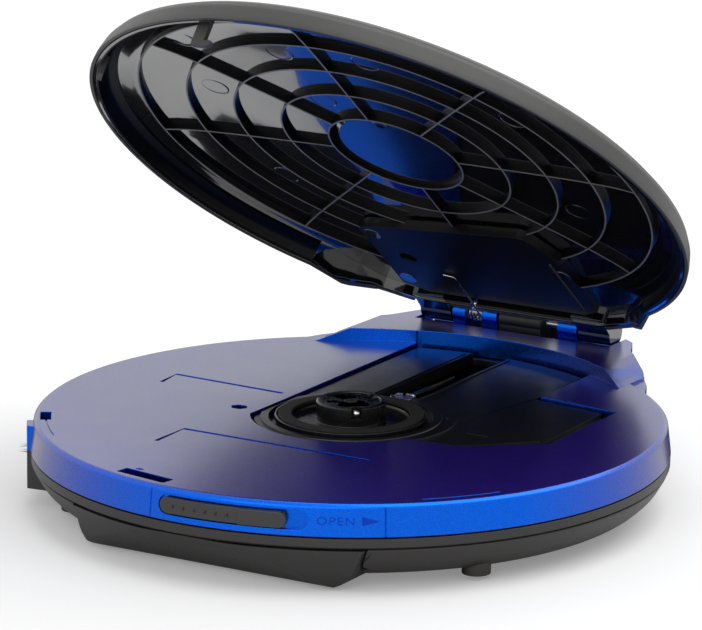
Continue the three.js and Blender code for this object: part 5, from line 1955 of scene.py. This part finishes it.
    def plate(self) -> Solid:
        """Hinge plate with its cable hole and a wall round its edge."""
        leaf = rounded([
            (-25.2, 37, 1.5), (-22.6, 35.4, 3), (19, 30.2, 3), (21.6, 36.4, 2), (24.3, 41, 2), (24.3, 64, 1),
            (20, 66.6), (-20, 66.6, 2), (-25.4, 63.4, 1),
        ])
        plate = Solid.drawn(leaf, self.leaf_low, self.leaf_low + self.leaf)
        eye = Solid.disc(2, self.leaf_low - 1, DECK + 7, (-17.8, 49.3))
        plate -= eye
        skirt = Solid.drawn(leaf, self.leaf_low + 0.2, self.leaf_low + 2.4)
        centre = Vector((-0.5, 50, 0))
        shrink = Matrix.Diagonal((0.95, 0.94, 1, 1))
        hollow = Solid.drawn(leaf, self.leaf_low + self.leaf, DECK + 9).placed(
            Matrix.Translation(centre) @ shrink @ Matrix.Translation(-centre)
        )
        return (plate + (skirt - hollow)) - eye

    def key(self, x: float) -> Solid:
        """Round key with a dished top."""
        low = DECK + 6.9
        profile = rounded([
            (0, low), (1.2, low), (1.2, low + 0.7), (3.1, low + 0.7, 0.1), (3.1, low + 2.2, 0.4),
            (2.2, low + 2.35, 0.4), (0, low + 2.05),
        ], steps=5)
        return Solid.turned(profile, SMALL_STEPS, (x, self.key_row))

    def key_sign(self, name: str, x: float) -> Mesh:
        """Raised everyday sign of a key.

        Args:
            name: which key.
            x: its place.

        Returns:
            The sign's mesh, drawn shut.
        """
        tall, wide = 0.75, 0.7
        arrow = [(-wide / 2, -tall), (wide, 0), (-wide / 2, tall)]
        shapes = {
            "play": [arrow],
            "stop": [oblong(-0.65, -0.65, 0.65, 0.65)],
            "back": [[(-px + 0.55, py) for px, py in arrow], [(-px - 0.45, py) for px, py in arrow]],
            "forward": [[(px - 0.55, py) for px, py in arrow], [(px + 0.45, py) for px, py in arrow]],
        }[name]
        sign = together(
            Solid.drawn(outline, DECK + 8.8, DECK + 9.22).shifted(x, self.key_row) for outline in shapes
        )
        return softened(sign, 0.03, 1, 35)

    def build(self, deck: DeckShell, case: LowerCase) -> None:
        """Builds the lid.

        Args:
            deck: the deck, whose bridge the lid clears.
            case: not used.
        """
        self.put("lid_shell", self.outer_cover(deck), LID_PLASTIC, Slot.LID_GREY, ["lid_cover"], 0.14, 2, 32)
        liner = self.inner_liner(deck)
        self.put("lid_lining", liner, LINER_PLASTIC, Slot.GLOSS_BLACK, ["lid_liner"], 0.1, 2, 32)
        self.put("liner_cove", self.cove(deck), SHADED_RIB_PLASTIC, Slot.GLOSS_BLACK, (), 0)
        # rib sides in dull black: painted shade
        walls = self.rib_net(self.rib_thick, 0.3, self.rib - 0.1, SHADED_RIB_PLASTIC)
        self.mount("rib_walls", walls, SHADED_RIB_PLASTIC, Slot.GLOSS_BLACK)
        # rib tops in light grey: painted highlight
        tips = self.rib_net(self.rib_thick - 0.06, 0.15 - self.rib, self.rib, HIGHLIGHT_TIP_PLASTIC)
        self.mount("rib_tips", tips, HIGHLIGHT_TIP_PLASTIC, Slot.GLOSS_BLACK)
        self.put("centre_boss", self.centre_plate(), LINER_PLASTIC, Slot.GLOSS_BLACK, (), 0)
        self.put("latch_hook", self.hook(), HOOK_PLASTIC, Slot.GLOSS_BLACK, (), 0.12)
        # painted highlight: a light grey strip near the hinge plate's right edge, for the bright line along
        # its fold
        ridge = groove([(21.2, 41.5), (21.2, 63)], 0.3, self.leaf_low - 0.35, self.leaf_low + 0.05)
        self.put("leaf_ridge", ridge, HOOK_PLASTIC, Slot.SATIN_BLACK, (), 0.1)
        tab = Solid.sector(64.3, 65.4, -58.6, -54.9, DECK - 1.4, DECK + 3)
        self.put("side_tab", tab, HOOK_PLASTIC, Slot.GLOSS_BLACK, (), 0.12)
        leaf = self.plate()
        self.put("hinge_leaf", leaf, PLATE_PLASTIC, Slot.SATIN_BLACK, ["lid_hinge_plate"], 0.12, 2, 32)
        profile = [(0, -0.16), (2.1, -0.16, 0.1), (2.1, 0.3), (0, 0.3)]
        button = Solid.turned(rounded(profile, steps=3), SMALL_STEPS)
        low = self.leaf_low
        heads = scatter(
            "plate_screws", softened(button, 0, 1, 35), [(x, y, low) for x, y in self.plate_screws],
            [15, 60, 35], WINDOW_PLASTIC,
        )
        names = [f"plate_screw_{i}" for i in range(1, 4)]
        self.mount("plate_screws", heads, WINDOW_PLASTIC, Slot.STEEL, names)
        self.put_ejectors()
        pane = rounded(oblong(-12.7, 35.8, 12.7, 46.2), 1.0)
        glass = Solid.drawn(pane, DECK + 8.05, DECK + 8.8)
        self.put("window_pane", glass, WINDOW_PLASTIC, Slot.GLOSS_BLACK, ["display_window"], 0.12)
        for name, x in self.keys:
            body = Body[name.upper()]
            key, nodes = self.key(x), [f"{name}_button"]
            self.put(f"{name}_key", key, KNOB_PLASTIC, Slot.KNOB_GREY, nodes, 0, body=body)
            self.mount(f"{name}_sign", self.key_sign(name, x), CATCH_PLASTIC, Slot.KNOB_GREY, (), body)

    def put_ejectors(self) -> None:
        """Shallow round marks left on the liner by the mould."""
        profile = [(2.85, -0.05), (3.0, -0.1, 0.05), (3.15, -0.05), (3.15, 0.2), (2.85, 0.2)]
        mark = Solid.turned(rounded(profile, steps=3), SMALL_STEPS)
        places = [(x, y, self.ceiling(math.hypot(x, y))) for x, y in self.ejectors]
        rings = scatter("ejector_marks", softened(mark, 0, 1, 60), places, [0] * len(places), LINER_PLASTIC)
        self.mount("ejector_marks", rings, LINER_PLASTIC, Slot.GLOSS_BLACK)


# ---------------------------------------------------------------- studio


@dataclass(frozen=True)
class Softbox:
    """Square soft lamp that looks at a point."""

    name: str
    place: Point
    target: Point
    size: float
    power: float

    def build(self) -> None:
        """Adds the lamp."""
        lamp = bpy.data.lights.new(self.name, "AREA")
        lamp.shape = "SQUARE"
        lamp.size = self.size
        lamp.energy = self.power
        item = linked(self.name, lamp)
        item.location = self.place
        way = Vector(self.target) - Vector(self.place)
        item.rotation_euler = way.to_track_quat("-Z", "Y").to_euler()


@dataclass
class Studio:
    """Camera, lamps, white surroundings and floor."""

    lens: float = 253.095
    sensor: float = 36.0
    distance: float = 1053.31
    azimuth: float = 30.548
    elevation: float = 14.303
    roll: float = 0.529
    across: float = -0.194
    up: float = 21.245
    floor_z: float = -0.8
    floor_half: float = 6000.0
    floor_lift: float = 0.22
    # outline of the dark card that paints shade into reflections
    card: tuple[Point, ...] = (
        (-260, 26), (-66, 26), (-66, 37), (-86, 37), (-92, 33), (-112, 33), (-125, 40), (-78, 52),
        (60, 52), (60, 300), (-260, 300),
    )
    daylight: float = 0.42
    lamps: tuple[Softbox, ...] = (
        Softbox("key", (0.35, 0.45, 1.3), (0, 0, 0.03), 1.6, 13.0),
        Softbox("front", (0.2, -1.5, 0.9), (0, 0, 0.02), 1.4, 5.3),
    )

    def camera(self) -> None:
        """Adds the camera and makes it the scene's own."""
        turn, rise, roll = (math.radians(v) for v in (self.azimuth, self.elevation, self.roll))
        back = Vector((math.sin(turn) * math.cos(rise), -math.cos(turn) * math.cos(rise), math.sin(rise)))
        right = Vector((math.cos(turn), math.sin(turn), 0))
        above = back.cross(right)
        eye = back * self.distance + right * self.across + above * self.up + Vector((0, 0, DECK))
        level = right * math.cos(roll) + above * math.sin(roll)
        upright = above * math.cos(roll) - right * math.sin(roll)
        data = bpy.data.cameras.new("camera")
        data.lens, data.sensor_width, data.sensor_fit = self.lens, self.sensor, "HORIZONTAL"
        data.clip_start, data.clip_end = 0.02, 50
        item = linked("camera", data)
        rotation = Matrix((level, upright, back)).transposed().to_4x4()
        item.matrix_world = Matrix.Translation(eye * MM) @ rotation
        bpy.context.scene.camera = item

    def surroundings(self) -> None:
        """White for the camera and for reflections, a plain level for light."""
        world = bpy.data.worlds.new("surroundings")
        world.use_nodes = True
        bpy.context.scene.world = world
        graph = Graph(world.node_tree)
        graph.tree.nodes.clear()
        seen = graph.add("ShaderNodeLightPath", output="Is Camera Ray")
        path = seen.socket.node
        shiny = Wire(graph, path.outputs["Is Glossy Ray"])
        clear = Wire(graph, path.outputs["Is Transmission Ray"])
        plain = (seen + shiny + clear) > 0.5
        level = plain * (1 - self.daylight) + self.daylight
        glow = graph.add("ShaderNodeBackground", inputs={"Color": (1, 1, 1, 1), "Strength": level})
        graph.add("ShaderNodeOutputWorld", inputs={"Surface": glow})

    @staticmethod
    def sheet(
        name: str, corners: Sequence[Point], level: float, paint: Paint, surface: Wire
    ) -> Object:
        """Level face at a height in millimetres.

        Args:
            name: its name.
            corners: its corners.
            level: its height.
            paint: the graph of its material.
            surface: what that graph ends in.

        Returns:
            The new object.
        """
        mesh = bpy.data.meshes.new(name)
        mesh.from_pydata([(x * MM, y * MM, level * MM) for x, y in corners], [], [range(len(corners))])
        mesh.materials.append(paint.close(surface))
        return linked(name, mesh)

    def floor(self) -> None:
        """Pale floor under the player, lifted towards white for the camera."""
        paint, half = Paint("floor"), self.floor_half
        cloth = paint.mix(paint.noise(400.0), (0.93, 0.93, 0.93), (0.95, 0.95, 0.95))
        surface = paint.shader(Base_Color=cloth, Roughness=0.7, Specular_IOR_Level=0.0)
        strength = paint.add("ShaderNodeLightPath", output="Is Camera Ray") * self.floor_lift
        glow = paint.add("ShaderNodeEmission", inputs={"Color": (1, 1, 1, 1), "Strength": strength})
        both = paint.add("ShaderNodeAddShader", inputs={0: surface, 1: glow})
        self.sheet("floor", oblong(-half, -half, half, half), self.floor_z, paint, both)

    def shade(self) -> None:
        """Painted shade: a dark card behind the player that only polished surfaces see, standing in for the
        floor shadowed by the lid in their reflections.
        """
        paint = Paint("shade")
        # painted shade: near-black colour of the card
        cloth = paint.mix(paint.noise(3.0), (0.004, 0.004, 0.006), (0.008, 0.008, 0.01))
        surface = paint.shader(Base_Color=cloth, Roughness=0.9, Specular_IOR_Level=0.1)
        item = self.sheet("shade", self.card, self.floor_z + 0.3, paint, surface)
        item.visible_camera = item.visible_diffuse = item.visible_shadow = False
        item.visible_transmission = False

    def build(self) -> None:
        """Builds the studio."""
        self.camera()
        self.surroundings()
        self.floor()
        self.shade()
        for lamp in self.lamps:
            lamp.build()
        bpy.context.scene.view_settings.view_transform = "Standard"
        LOG.info("studio: %d lamps", len(self.lamps))


# ---------------------------------------------------------------- main


def dress_hidden(frame: Mapping[str, Any]) -> None:
    """Gives the frame's own inner pieces their finishes.

    Args:
        frame: the loaded frame.
    """
    numbered = [f"chassis_damper_{i}" for i in range(1, 4)]
    dress(frame, DAMPER_RUBBER, *numbered)
    dress(frame, CHASSIS_PLASTIC, "pickup_sled", "signal_chip")
    dress(frame, NICKEL, "spindle_shaft", "guide_rod_main", "guide_rod_sub")
    dress(frame, NICKEL, "battery_link", "battery_spring", "battery_contact")
    dress(frame, CAN_STEEL, "spindle_motor", "sled_motor", "volume_pot")
    dress(frame, GEAR_ACETAL, "drive_gear", "motor_pinion")
    dress(frame, BOARD, "main_board")
    dress(frame, DARK_BOARD, "control_board")
    dress(frame, DISPLAY, "display_panel")


def main() -> None:
    """Builds the studio, then each assembly in order."""
    logging.basicConfig(level=logging.INFO, format="%(message)s")
    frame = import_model()
    Studio().build()
    deck, case = DeckShell(), LowerCase()
    deck.build()
    Lettering().build()
    case.build(deck)
    DiscDrive().build()
    Release().build()
    HingeLine().build()
    SideControls().build()
    Lid().build(deck, case)
    dress_hidden(frame)


if __name__ == "__main__":
    main()
